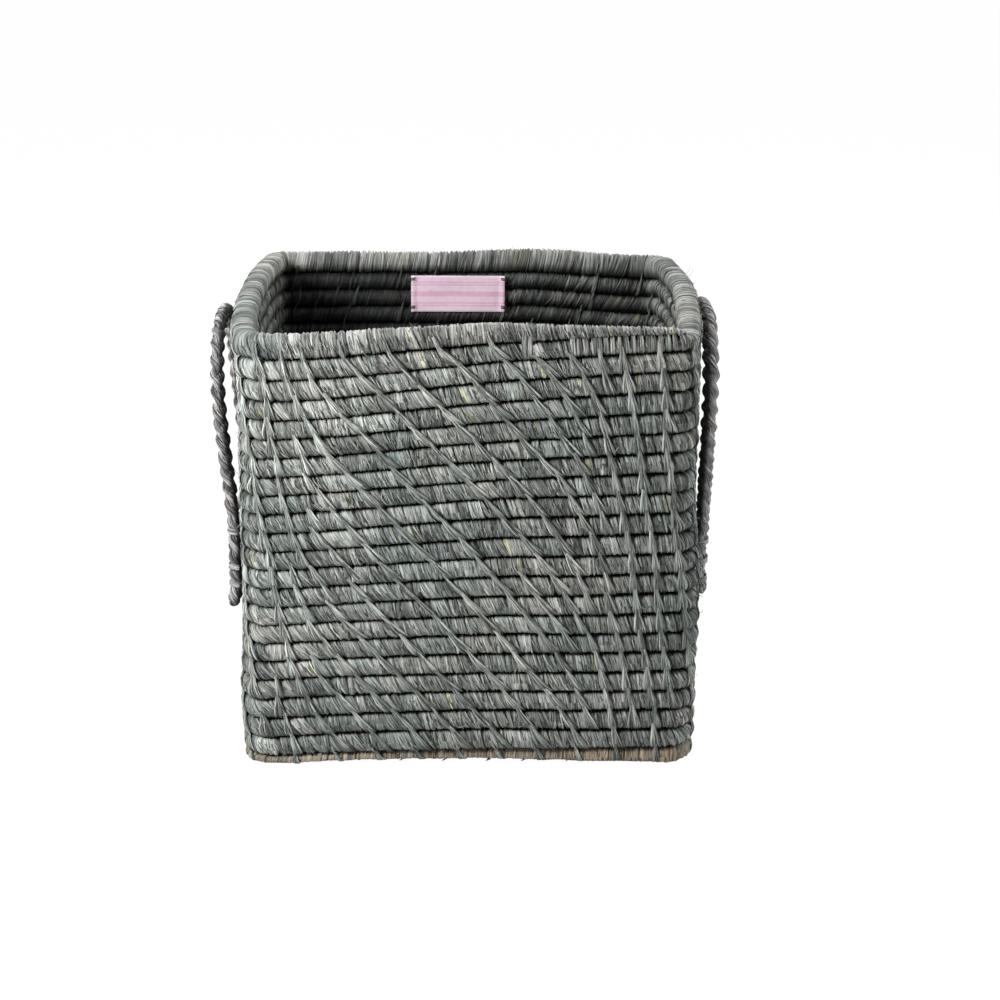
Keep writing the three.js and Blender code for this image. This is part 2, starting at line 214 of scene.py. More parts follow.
def lifted(height, step):
    """The hand-made rows rise over the front from its left to its right, and even out at the rim."""
    in_front = smooth(step, 11.5, 13.2) * (1 - 0.8 * smooth(step, 13.6, 14.6)) * (1 - smooth(step, 15, 19))
    rightwards = ramp(step, 12.6, FRONT_RIGHT_STEP) * (1 - smooth(step, 15.6, 23))
    leftwards = smooth(step, 7, 11) * (1 - ramp(step, 12, 13.5)) ** 1.5
    back_right = between(step, 20.5, 22.5, 24.8, 26)
    low = ramp(height, 10, 22) * (1 - smooth(height, 150, 185))
    high = ramp(height, 20, 205) * (1 - ramp(height, 230, 247))
    drop = LEFT_DROP * (1 - smooth(height, 200, 248)) + LEFT_FOOT_DROP * (1 - smooth(height, 10, 60))
    rise = FRONT_LIFT * low * in_front + RIGHT_LIFT * high * rightwards - drop * leftwards
    return height + rise + BACK_RIM_LIFT * smooth(height, 228, 246) * back_right


def pushed_out(height, step):
    """How far the hand-made wall stands out from its true square."""
    front_right = between(step, 15.4, 16.6, 18.4, 19.7) * smooth(height, 95, 160)
    back_right = between(step, 19.2, 20.3, 21.4, 23) * smooth(height, 185, 236)
    front_left = between(step, 7.5, 8.8, 10.5, 12) * smooth(height, 40, 90) * (1 - smooth(height, 205, 235))
    foot = hump(step % SIDE_STEPS, STRAIGHT_STEPS - 0.5, SIDE_STEPS + 0.5) * (1 - smooth(height, 6, 34))
    bulge = BACK_RIGHT_BULGE * back_right - FRONT_RIGHT_DENT * front_right - FRONT_LEFT_DENT * front_left
    return bulge - FOOT_CORNER_DENT * foot


def unevenness(turns, seed, size):
    """A smooth hand-made waver along the cord."""
    waves = np.random.default_rng(seed)
    total = 0
    for rate in (4.3, 7.9, 13.7, 22.1, 37.3):
        total = total + np.sin(TAU * rate * turns + waves.uniform(0, TAU)) / rate**0.35
    return size * total / 1.2


def place_waver(place, height, seed, size):
    """A slow waver that neighbouring rows share, from where they are on the basket."""
    waves = np.random.default_rng(seed)
    total = 0
    for wave_length in (190.0, 110.0, 67.0, 41.0):
        direction = waves.normal(size=3)
        direction *= TAU / wave_length / np.linalg.norm(direction)
        phase = waves.uniform(0, TAU)
        position = place[..., 0] * direction[0] + place[..., 1] * direction[1] + height * direction[2]
        total = total + np.sin(position + phase) * wave_length / 190.0
    return size * total / 1.4


def in_space(place, out, height):
    """Centre and outward direction in space, from those on the plan and the height."""
    centre = np.concatenate([place, height[..., None]], -1)
    return centre, np.concatenate([out, np.zeros_like(out[..., :1])], -1)


def row_station(turns, half_width, half_height):
    """Centre, outward direction and half sizes of an upright row's section."""
    turns = np.asarray(turns, float)
    _, step = loop_and_step(turns)
    place, out = on_rounded_square(step, *wall_plan(turns))
    bottom = row_bottom(turns)
    low, high = lifted(bottom, step), lifted(bottom + 2 * half_height, step)
    height = (low + high) / 2
    uneven = place_waver(place, height, *WALL_BULGES) + unevenness(turns, *WALL_SWAY)
    stand = pushed_out(height, step) + uneven
    place = place + out * stand[..., None]
    waver = place_waver(place, height * 0.3, *ROW_WAVES) + unevenness(turns, *ROW_SWAY)
    centre, outward = in_space(place, out, height + waver * ramp(turns, 0, 1))
    return centre, outward, half_width + 0 * height, (high - low) / 2


def wall_station(turns):
    return row_station(turns, COIL_HALF_WIDTH + unevenness(turns, *ROW_SWELL), COIL_HALF_HEIGHT)


def rim_station(turns):
    grown = smooth(turns, *RIM_GROWTH)
    tail = ramp(turns, *TAIL_THINNING)
    tip = 1 - TIP_LOSS * smooth(turns, *TIP_THINNING)
    width = lerp(lerp(COIL_HALF_WIDTH, RIM_HALF_WIDTH, grown), TAIL_HALF_WIDTH, tail)
    height = lerp(lerp(COIL_HALF_HEIGHT, RIM_HALF_HEIGHT, grown), TAIL_HALF_HEIGHT, tail) * tip
    return row_station(turns, width, height)


def upright_station(turns):
    """Any row from the foot to the rim."""
    on_rim = turns > wall_end
    tests = (on_rim[..., None], on_rim[..., None], on_rim, on_rim)
    stations = zip(tests, rim_station(np.maximum(turns, wall_end)), wall_station(np.minimum(turns, wall_end)))
    return tuple(np.where(*fact) for fact in stations)


def floor_station(turns):
    """A turn of the floor: the turns lie side by side, and the last one climbs under the first row."""
    turns = np.asarray(turns, float)
    loop, step = loop_and_step(turns)
    share = (step - JUNCTION_STEP) / LOOP_STEPS
    gathered = ramp(turns, 1, FLOOR_TURNS)
    shift = smooth(step, LOOP_STEPS, LOOP_STEPS + 1)
    passed = np.minimum(loop + (1 - gathered) * share + gathered * shift, FLOOR_TURNS)
    grown = FLOOR_PITCH * np.maximum(passed - FLOOR_FIRST_TURN, 0)
    full = math.hypot(FLOOR_MIDDLE_SPAN, FLOOR_HALF_SPAN)
    span = np.hypot(FLOOR_MIDDLE_SPAN, grown) * FLOOR_HALF_SPAN / full
    square_corner = lerp(FLOOR_MIDDLE_CORNER, BOTTOM_CORNER, span / FLOOR_HALF_SPAN)
    corner = np.minimum(FLOOR_ROUNDEST_CORNER * span, square_corner)
    climb = smooth(turns, FLOOR_TURNS + 1 - 2 / LOOP_STEPS, FLOOR_TURNS + 1 - 1 / LOOP_STEPS)
    outermost = turns > FLOOR_TURNS
    pressed = outermost * (lifted(FIRST_ROW_BOTTOM, step) - FIRST_ROW_BOTTOM)
    half_width = np.minimum(FLOOR_HALF_WIDTH, span - FLOOR_MIDDLE_HOLE)
    half_height = lerp(FLOOR_HALF_HEIGHT, COIL_HALF_HEIGHT, climb) + pressed / 2
    inset = BOTTOM_INSET * climb
    place, out = on_rounded_square(step, span + inset, corner, inset)
    swell = FLOOR_CORNER_SWELL * hump(step % SIDE_STEPS, STRAIGHT_STEPS, SIDE_STEPS) * ramp(turns, 1, 2)
    place = place - out * swell[..., None] / 2
    place = place + out * (unevenness(turns, *FLOOR_SWAY) * ramp(turns, 1, 3))[..., None]
    place = place + out * (outermost * pushed_out(6.0, step))[..., None]
    height = lerp(FLOOR_HEIGHT, FIRST_ROW_BOTTOM + COIL_HALF_HEIGHT, climb) + pressed / 2
    centre, outward = in_space(place, out, height + 0 * turns)
    return centre, outward, half_width + swell / 2 + unevenness(turns, *FLOOR_SWELL), half_height


FOOT_ARCH = 3.2
FOOT_CLEARANCE = 0.5


def lowest(turns):
    """The outermost turn of the floor arches a little off the ground between its corners."""
    arch = hump(side_step(turns), 0, STRAIGHT_STEPS) ** 0.7
    rough = FOOT_CLEARANCE + unevenness(turns * 3, *FOOT_ROUGHNESS)
    return np.where((turns > FLOOR_TURNS) & (turns <= FLOOR_TURNS + 1), FOOT_ARCH * arch + rough, 0.0)


class Route:
    """A length of cord: its station at any number of turns, and the length that goes with the turns."""

    def __init__(self, station, start, end):
        self.station = station
        self.turns = np.linspace(start, end, int((end - start) * LOOP_STEPS * 24) + 2)
        steps = np.linalg.norm(np.diff(station(self.turns)[0], axis=0), axis=1)
        self.lengths = np.concatenate([[0], np.cumsum(steps)])
        self.total = self.lengths[-1]

    def turns_of(self, length):
        return np.interp(length, self.lengths, self.turns)

    def length_of(self, turns):
        return np.interp(turns, self.turns, self.lengths)


wall_route = Route(wall_station, 0, wall_end)
rim_route = Route(rim_station, wall_end, rim_end)
floor_route = Route(floor_station, 0, FLOOR_TURNS + 1)
upright_route = Route(upright_station, 0, rim_end)

# Where the stitches lie: each a little behind the one on the row below, so that they form slanting lines
STITCH_SPACING = 22.0


def stitch_shift(turns):
    """How far a stitch goes forward on its way down one row: upright at the corners, slanted between them."""
    return 1.5 + 7.6 * between(side_step(turns), 0.0, 0.6, 1.9, 2.8)


def stitch_gaps(turns):
    """The least and greatest distance between stitches: they are closer near the corners."""
    middle = between(side_step(turns), 0.3, 0.9, 1.9, 2.5)
    return 11.5 + 6.5 * middle, 21.0 + 15.0 * middle


def stitch_places(route, last):
    """Lengths along the cord. Each stitch starts another one row higher, where there is room for it."""
    first_row = route.length_of(route.turns[0] + 1)
    places = list(np.arange(0, first_row, STITCH_SPACING))
    parent = 0
    while True:
        turns = route.turns_of(places[parent])
        child = route.length_of(turns + 1) - stitch_shift(turns + 1) + rng.normal(0, 0.8)
        parent += 1
        if child > last:
            break
        gap = child - places[-1]
        least, most = stitch_gaps(route.turns_of(child))
        if gap < least:
            continue
        if gap > most:
            places.append(places[-1] + gap / 2)
        places.append(child)
    return np.array(places)


wall_places = stitch_places(wall_route, wall_route.total - 12)
wall_shifts = stitch_shift(wall_route.turns_of(wall_places)) * rng.uniform(0.85, 1.15, len(wall_places))


def beside_stitch(route, places, at, high):
    """Distance along the cord from the nearest stitch, at a height from -1 to 1 on the row."""
    level = at - stitch_shift(route.turns_of(at)) * (1 - high) / 2
    after = np.clip(np.searchsorted(places, level), 1, len(places) - 1)
    to_next = level - places[after]
    to_last = level - places[after - 1]
    return np.where(-to_next < to_last, to_next, to_last)


# Materials


class Nodes:
    """The shader nodes of a material or of the world."""

    def __init__(self, owner):
        owner.use_nodes = True
        self.tree = owner.node_tree

    def set(self, node, inputs):
        """Gives inputs, by name or number, a link from another node or a value."""
        for name, value in inputs.items():
            if isinstance(value, bpy.types.NodeSocket):
                self.tree.links.new(value, node.inputs[name])
            else:
                node.inputs[name].default_value = value

    def add(self, kind, inputs=None, **settings):
        node = self.tree.nodes.new("ShaderNode" + kind)
        for name, value in settings.items():
            setattr(node, name, value)
        self.set(node, inputs or {})
        return node

    def math(self, operation, *values, clamp=False):
        return self.add("Math", dict(enumerate(values)), operation=operation, use_clamp=clamp).outputs[0]

    def times(self, value, factor):
        return self.math("MULTIPLY", value, factor)

    def times_plus(self, value, factor, added, clamp=False):
        return self.math("MULTIPLY_ADD", value, factor, added, clamp=clamp)

    def minus(self, value, other, clamp=False):
        return self.math("SUBTRACT", value, other, clamp=clamp)

    def greatest(self, *values):
        result = values[0]
        for value in values[1:]:
            result = self.math("MAXIMUM", result, value)
        return result

    def mix(self, factor, a, b, blend="MIX"):
        a, b = ((*value, 1.0) if isinstance(value, tuple) else value for value in (a, b))
        return self.add("Mix", {0: factor, 6: a, 7: b}, data_type="RGBA", blend_type=blend).outputs[2]

    def ramp(self, factor, stops):
        node = self.add("ValToRGB", {0: factor})
        elements = node.color_ramp.elements
        while len(elements) < len(stops):
            elements.new(0.5)
        for element, (position, colour) in zip(elements, stops):
            element.position = position
            element.color = (*colour, 1.0)
        return node.outputs[0]


class FibreNodes(Nodes):
    """The nodes of a new material that is drawn along the fibres of a mesh, in mm."""

    def __init__(self, name):
        self.material = bpy.data.materials.new(name)
        super().__init__(self.material)
        self.uv = self.add("UVMap", uv_map="fibres").outputs[0]

    def noise(self, across, along, depth, detail=2.0):
        """Noise drawn out along the fibres: its grain is 1/across mm wide and 1/along mm long."""
        offset = self.add("CombineXYZ", {2: depth}).outputs[0]
        scaling = {0: self.uv, 1: (across, along, 1.0), 2: offset}
        scaled = self.add("VectorMath", scaling, operation="MULTIPLY_ADD").outputs[0]
        inputs = {"Scale": 1.0, "Detail": detail, "Roughness": 0.6, "Vector": scaled}
        return self.add("TexNoise", inputs).outputs["Fac"]

    def bump(self, strength, depth, height):
        return self.add("Bump", {"Strength": strength, "Distance": depth * MM, "Height": height}).outputs[0]

    def finish(self, colour, roughness, more):
        shader = self.tree.nodes["Principled BSDF"]
        self.set(shader, {"Base Color": colour, "Roughness": roughness, **more})
        return self.material


PAINTED_SHADE_BLACK = (0.002, 0.0025, 0.0025)
PATCH_TINTS = [(0.36, (0.84, 0.87, 0.88)), (0.64, (1.1, 1.07, 1.07))]


def raffia_material(name, dark, middle, light, tints, rare, rare_share):
    """Raffia: streaks and thin dark lines along the fibres, tones by strip, and painted shade that turns
    black in the crevices.
    """
    n = FibreNodes(name)
    strip = n.add("Attribute", attribute_name="strip").outputs["Vector"]
    tone, hue, chance = n.add("SeparateXYZ", {0: strip}).outputs
    painted_crevice_shade = n.add("Attribute", attribute_name="painted_crevice_shade").outputs["Fac"]
    offset = n.times(chance, 40.0)
    coarse = n.times_plus(n.noise(0.9, 0.05, offset), 2.6, -0.8, clamp=True)
    fine = n.times_plus(n.noise(2.3, 0.09, offset), 2.4, -0.7, clamp=True)
    beside_line = n.math("ABSOLUTE", n.minus(n.noise(0.75, 0.03, offset, detail=1.0), 0.5))
    line = n.minus(1.0, n.times(beside_line, 30.0), clamp=True)
    grain = n.times_plus(line, -0.6, n.times_plus(fine, 0.5, n.times(coarse, 0.5)))
    value = n.times_plus(tone, 0.5, n.times_plus(grain, 0.85, -0.16))
    colour = n.ramp(value, [(0.05, dark), (0.45, middle), (0.95, light)])
    tint = n.ramp(hue, [(i / (len(tints) - 1), t) for i, t in enumerate(tints)])
    colour = n.mix(1.0, colour, tint, "MULTIPLY")
    place = n.add("TexCoord").outputs["Object"]
    patches = n.add("TexNoise", {"Scale": 18.0, "Detail": 2.0, "Vector": place}).outputs["Fac"]
    colour = n.mix(1.0, colour, n.ramp(patches, PATCH_TINTS), "MULTIPLY")
    is_rare = n.math("GREATER_THAN", chance, 1 - rare_share)
    colour = n.mix(is_rare, colour, rare, "MULTIPLY")
    # Painted shade: the colour goes towards black as far as a point lies in a crevice or in shadow
    colour = n.mix(n.times(painted_crevice_shade, 0.96), colour, PAINTED_SHADE_BLACK)
    more = {"Specular IOR Level": 0.3, "Normal": n.bump(0.6, 0.4, grain)}
    return n.finish(colour, n.times_plus(fine, 0.2, 0.5), more)


LABEL_COLOUR = (0.8, 0.63, 0.73)
STRIPE_COLOUR = (0.72, 0.3, 0.48)
STRIPE_BLUR = 0.3
SATIN_SHADES = [(0.25, (0.84, 0.82, 0.85)), (0.75, (1.0, 1.0, 1.0))]
THREAD_SHADES = [(0.2, (0.008, 0.009, 0.009)), (0.8, (0.05, 0.055, 0.05))]

# Height of the middle of each woven stripe over the label's lower edge, and half its width
LABEL_STRIPES = ((4.0, 0.35), (5.6, 0.35), (11.3, 1.5), (17.0, 0.35), (18.6, 0.35))


def label_material():
    n = FibreNodes("label_satin")
    height = n.add("SeparateXYZ", {0: n.uv}).outputs[1]
    colour = LABEL_COLOUR
    for centre, half in LABEL_STRIPES:
        distance = n.math("ABSOLUTE", n.minus(height, centre))
        inside = n.math("MULTIPLY", n.minus(half + STRIPE_BLUR, distance), 3.0, clamp=True)
        colour = n.mix(n.times(inside, 0.55), colour, STRIPE_COLOUR)
    wave = n.add("TexWave", {"Scale": 1.1, "Distortion": 0.3, "Vector": n.uv}).outputs["Fac"]
    cloth = n.add("TexNoise", {"Scale": 0.35, "Detail": 3.0, "Vector": n.uv}).outputs["Fac"]
    weave = n.times_plus(wave, 0.3, n.times(cloth, 0.7))
    colour = n.mix(1.0, colour, n.ramp(weave, SATIN_SHADES), "MULTIPLY")
    return n.finish(colour, 0.38, {"Sheen Weight": 0.3, "Normal": n.bump(0.3, 0.15, weave)})


def thread_material():
    n = FibreNodes("dark_thread")
    twist = n.add("TexWave", {"Scale": 0.9, "Vector": n.uv}, bands_direction="DIAGONAL").outputs["Fac"]
    return n.finish(n.ramp(twist, THREAD_SHADES), 0.7, {})


GREY_TINTS = [
    (0.88, 1.0, 0.98),
    (1.0, 1.0, 0.97),
    (0.96, 1.0, 0.97),
    (1.03, 1.0, 0.94),
    (1.0, 0.98, 0.97),
    (1.03, 0.97, 1.02),
]
YELLOWED = (1.5, 1.4, 0.95)

# For each raffia: its dark, middle and light, its tints, the tint of its rare strips and their share
RAFFIAS = {
    "grey_raffia": (
        (0.012, 0.0135, 0.0125), (0.165, 0.18, 0.168), (0.58, 0.605, 0.575),
        GREY_TINTS, YELLOWED, 0.02,
    ),
    "rim_raffia": (
        (0.02, 0.0215, 0.0205), (0.165, 0.175, 0.166), (0.54, 0.555, 0.53),
        GREY_TINTS, YELLOWED, 0.015,
    ),
    "natural_raffia": (
        (0.04, 0.03, 0.018), (0.27, 0.22, 0.155), (0.56, 0.49, 0.38),
        [(1.0, 0.96, 0.9), (1.0, 1.0, 1.0), (0.8, 0.86, 0.92)], (0.5, 0.55, 0.6), 0.08,
    ),
    "plaited_rope": (
        (0.008, 0.0078, 0.0078), (0.17, 0.164, 0.162), (0.72, 0.7, 0.68),
        [(0.96, 1.0, 1.02), (1.05, 0.98, 0.98)], YELLOWED, 0.0,
    ),
    "binding_raffia": (
        (0.05, 0.05, 0.05), (0.24, 0.245, 0.245), (0.5, 0.505, 0.505),
        [(0.97, 1.0, 1.0), (1.03, 1.0, 1.02)], YELLOWED, 0.0,
    ),
}
MATERIALS = {name: raffia_material(name, *facts) for name, facts in RAFFIAS.items()}
MATERIALS["label_satin"] = label_material()
MATERIALS["dark_thread"] = thread_material()

# Meshes


def tube_object(name, points, u, v, tones, shade, slot):
    """Closed tubes, as one mesh in a slot. points is (tubes, rings, sides, 3).

    u and v are (tubes, rings, sides + 1): across and along the fibres. tones is (tubes, rings - 1, 3), random
    numbers for each band of faces, and shade (tubes, rings, sides) is the painted shade at each point, mostly
    from how deep in a crevice it lies.
    """
    tubes, rings, sides, _ = points.shape
    grid = np.arange(tubes * rings * sides).reshape(tubes, rings, sides)
    beside = np.roll(grid, -1, axis=2)
    quads = np.stack([grid[:, :-1], beside[:, :-1], beside[:, 1:], grid[:, 1:]], -1).reshape(-1, 4)
    uv = np.stack(np.broadcast_arrays(u, v), -1)
    quad_uv = np.stack([uv[:, :-1, :-1], uv[:, :-1, 1:], uv[:, 1:, 1:], uv[:, 1:, :-1]], -2).reshape(-1, 2)
    caps = np.concatenate([grid[:, 0, ::-1], grid[:, -1]])
    cap_uv = np.concatenate([uv[:, 0, -2::-1], uv[:, -1, :-1]]).reshape(-1, 2)
    mesh = bpy.data.meshes.new(name)
    mesh.vertices.add(points.size // 3)
    mesh.vertices.foreach_set("co", (points * MM).astype(np.float32).ravel())
    loops = np.concatenate([quads.ravel(), caps.ravel()])
    mesh.loops.add(len(loops))
    mesh.loops.foreach_set("vertex_index", loops.astype(np.int32))
    starts = np.concatenate([np.arange(len(quads)) * 4, len(quads) * 4 + np.arange(len(caps)) * sides])
    mesh.polygons.add(len(starts))
    mesh.polygons.foreach_set("loop_start", starts.astype(np.int32))
    mesh.polygons.foreach_set("use_smooth", np.ones(len(starts), bool))
    layer = mesh.uv_layers.new(name="fibres")
    layer.data.foreach_set("uv", np.concatenate([quad_uv, cap_uv]).astype(np.float32).ravel())
    strip = mesh.attributes.new("strip", "FLOAT_VECTOR", "FACE")
    tones = np.broadcast_to(tones, (tubes, rings - 1, 3))
    face_tones = np.concatenate([np.repeat(tones.reshape(-1, 3), sides, axis=0), tones[:, 0], tones[:, -1]])
    strip.data.foreach_set("vector", face_tones.astype(np.float32).ravel())
    painted_crevice_shade = mesh.attributes.new("painted_crevice_shade", "FLOAT", "POINT")
    painted_crevice_shade.data.foreach_set("value", np.broadcast_to(shade, grid.shape).astype(np.float32).ravel())
    mesh.update(calc_edges=True)
    mesh.validate()
    mesh.materials.append(MATERIALS[slot])
    piece = bpy.data.objects.new(name, mesh)
    bpy.context.scene.collection.objects.link(piece)
    return piece


def on_basket(pieces, *replaced):
    """The pieces move with the basket, and stand for the CAD nodes named."""
    for piece in pieces:
        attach(piece, "basket")
        if replaced:
            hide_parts(*replaced)


# Wrapped cord: strips of raffia wound closely round a core, in groups with slits between them

CORD_SIDES = 14
SECTION_POWER = 2.6
WRAP_GROOVE = 1.4
AROUND_CORD = TAU * 5.2

side_angles = TAU * np.arange(CORD_SIDES) / CORD_SIDES
section_across = np.sign(np.cos(side_angles)) * np.abs(np.cos(side_angles)) ** (2 / SECTION_POWER)
section_up = np.sign(np.sin(side_angles)) * np.abs(np.sin(side_angles)) ** (2 / SECTION_POWER)

# Strips: how their widths vary, how far their joints gape, and how much they stand off and lean
STRIP_SHAPE = 1.5
LEAST_STRIP = 0.45
OPEN_JOINT = (0.55, 1.0)
CLOSED_JOINT = (0.04, 0.36)
GROUP_RISE = 0.5
STRIP_RISE = 0.2
GROUP_LEAN_SPREAD = 0.42
STRIP_LEAN_SPREAD = 0.06
RING_GAP = 0.03
SLIT_PAINTED_SHADE = 0.9
CORD_END = 0.4
CORD_END_SIZE = 0.9

# How far a strip's own tone, hue and chance come through those of its group. Chances are kept under a limit,
# apart from those of the strips picked to be yellowed
OWN_TONES = np.array([0.38, 0.25, 0.05])
COMMON_CHANCE = 0.97
YELLOWED_STRIPS = 0.01
YELLOWED_FIBRES = 0.005

# What a stitch does to the strips: a dent under it, and a painted shadow on one side, from its foot to its
# head
STITCH_DENT = 0.6
STITCH_DENT_REACH = 2.4
STITCH_SHADOW_PLACES = (2.9, 1.7)
STITCH_SHADOW_DEPTHS = (0.55, 0.95)
STITCH_SHADOW_HALF_WIDTH = 0.9


def crevice_shade_at(reach):
    """Painted shade where a section's face turns in towards the next row."""
    return np.interp(reach, [0.76, 0.93, 1.0], [0.0, 0.6, 1.0])


# Painted shade on the wall rows, along their tops and undersides
def wall_crevice_shade(turns):
    return crevice_shade_at(np.abs(section_up)) + 0 * turns


# Painted shade on the rim: top and underside where it lies under its tail, elsewhere only its underside
def rim_crevice_shade(turns):
    under_tail = turns < turns_at(WALL_ROWS - 1, TAIL_END_STEP)
    return np.where(under_tail, crevice_shade_at(np.abs(section_up)), crevice_shade_at(-section_up))


# Painted shade on the floor: between turns lying side by side, and along the top of the last turn's outer
# face
def floor_crevice_shade(turns):
    outside = (turns > FLOOR_TURNS - 2 / LOOP_STEPS) & (section_across > 0)
    return np.where(outside, crevice_shade_at(section_up), crevice_shade_at(np.abs(section_across)))


def slant_share(turns):
    """The wraps lean most at the start of each side and stand almost upright towards its end."""
    local = side_step(turns)
    return lerp(1.3, 0.5, ramp(local, 0, 3)) + 0.8 * ramp(local, 4, 6)


# Painted shade on the inside at steps round the loop, as if in shadow: darkest in the back left corner
INNER_SHADE_STEPS = [2, 3, 4.5, 6, 7.5, 9, 12, 15, 18, 19.5, 21, 22.5, 24, 25, 26]
INNER_SHADE_LEVELS = [0.86, 0.97, 0.96, 0.7, 0.25, 0.2, 0.4, 0.4, 0.2, 0.1, 0.15, 0.4, 0.35, 0.5, 0.86]


def inner_painted_shade(turns):
    return np.interp(loop_and_step(turns)[1], INNER_SHADE_STEPS, INNER_SHADE_LEVELS)


def wall_inner_shade(turns, high=section_up):
    """Painted shade inside: black below the shoulder of each row, which is left lighter as if it alone
    catches the light.
    """
    return lerp(inner_painted_shade(turns), 1.0, smooth(-high, -0.4, 0.42))


# Painted shade on the rim's inside, darker towards its lower half
def rim_inner_shade(turns):
    return 0.9 * smooth(-section_up, -0.05, 0.75) + 0 * turns


def wrapped_cord(
    names, route, slot, painted_crevice_shade, inner_shade=None, sewn=None,
    *, strip_width, slant, fullness, gaping, slit_width,
):
    """One cord, cut into the named pieces so that none is too heavy.

    gaping is the share of the joints between strips that gape, and sewn the places of stitches over the cord.
    """
    total = route.total
    count = int(total / strip_width)
    widths = rng.gamma(STRIP_SHAPE, 1.0, count) + LEAST_STRIP
    edges = np.concatenate([[0], np.cumsum(widths)]) * total / widths.sum()
    widths = np.diff(edges)
    opens = rng.random(count + 1) < gaping
    opens[[0, -1]] = True
    slit = np.where(opens, rng.uniform(*OPEN_JOINT, count + 1), rng.uniform(*CLOSED_JOINT, count + 1))
    group = np.cumsum(opens[:-1]) - 1
    groups = group[-1] + 1
    rise = rng.uniform(0, GROUP_RISE, groups)[group] + rng.uniform(0, STRIP_RISE, count)
    tones = lerp(rng.random((groups, 3))[group], rng.random((count, 3)), OWN_TONES)
    tones[:, 2] = np.where(rng.random(count) < YELLOWED_STRIPS, 1.0, COMMON_CHANCE * tones[:, 2])
    lean = rng.normal(1, GROUP_LEAN_SPREAD, groups)[group] + rng.normal(0, STRIP_LEAN_SPREAD, count)
    edge_lean = np.concatenate([lean[:1], (lean[:-1] + lean[1:]) / 2, lean[-1:]])

    # A ring in each joint, one where each strip starts, and one where the last strip of a group ends
    last = opens[1:]
    margin = slit_width * widths
    places = np.concatenate([edges, edges[:-1] + margin, (edges[1:] - margin)[last]])
    relief = np.concatenate([-WRAP_GROOVE * slit, rise, rise[last]])
    depth = np.concatenate([slit, 0 * rise, 0 * rise[last]])
    leans = np.concatenate([edge_lean, lean, lean[last]])
    order = np.argsort(places, kind="stable")
    places, relief, depth, leans = places[order], relief[order], depth[order], leans[order]

    # Each ring slants along its face, but never past the one before it
    turns = route.turns_of(places)[:, None]
    along_face = section_across if route is floor_route else section_up
    push = leans[:, None] * slant * slant_share(turns)
    creep = RING_GAP * np.arange(len(places))[:, None]
    shifted = np.maximum.accumulate(places[:, None] - push * along_face - creep, axis=0) + creep
    shifted = np.clip(shifted, 0, total)
    centre, out, half_width, half_height = route.station(route.turns_of(shifted))

    relief = relief[:, None] + 0 * shifted
    # Painted shade: black in the gaping slits between strip groups and in the crevices between rows
    shade = np.maximum(SLIT_PAINTED_SHADE * depth[:, None], painted_crevice_shade(turns))
    if sewn is not None:
        outer = section_across > 0.2
        beside = beside_stitch(route, sewn, shifted, section_up)
        relief = relief - STITCH_DENT * outer * np.exp(-((beside / STITCH_DENT_REACH) ** 2))
        # Painted shadow beside each stitch, darkest at the row's top and bottom
        edge = lerp(*STITCH_SHADOW_PLACES, (1 + section_up) / 2)
        stitch_shadow = lerp(*STITCH_SHADOW_DEPTHS, section_up**2) * outer
        shade = np.maximum(shade, stitch_shadow * np.exp(-(((beside - edge) / STITCH_SHADOW_HALF_WIDTH) ** 2)))
    if inner_shade is not None:
        # Painted shade over the inner face of the cord
        shade = np.maximum(shade, inner_shade(turns) * ramp(-section_across, 0, 0.5))
    ends = np.minimum(ramp(places, 0, CORD_END), ramp(total - places, 0, CORD_END))
    size = (CORD_END_SIZE + (1 - CORD_END_SIZE) * ends)[:, None]
    across = (half_width + fullness + relief) * section_across * size
    upward = (half_height + fullness + relief) * section_up * size
    points = centre + out * across[..., None] + UP * upward[..., None]
    points[..., 2] = np.maximum(points[..., 2], lowest(turns) if route is floor_route else 0.0)

    around = AROUND_CORD * np.arange(CORD_SIDES + 1) / CORD_SIDES
    strip_of = np.clip(np.searchsorted(edges, (places[:-1] + places[1:]) / 2) - 1, 0, count - 1)
    pieces = []
    cuts = np.linspace(0, len(places) - 1, len(names) + 1).astype(int)
    for name, first, final in zip(names, cuts[:-1], cuts[1:]):
        rings = slice(first, final + 1)
        u, v = places[rings][None, :, None], around[None, None]
        band = tones[strip_of[first:final]][None]
        pieces.append(tube_object(name, points[rings][None], u, v, band, shade[rings][None], slot))
    return pieces


# The bundle inside the floor's cord is wider round the corners, where a turn steps outwards, and in the
# middle. It is narrower and further in on the last turn
CORE_CORNER = 2.4
CORE_STEP = 0.9
CORE_MIDDLE = 2.2
CORE_LAST_LOSS = 0.2
CORE_LAST_INSET = 1.8
CORE_GROUND_GAP = 0.3


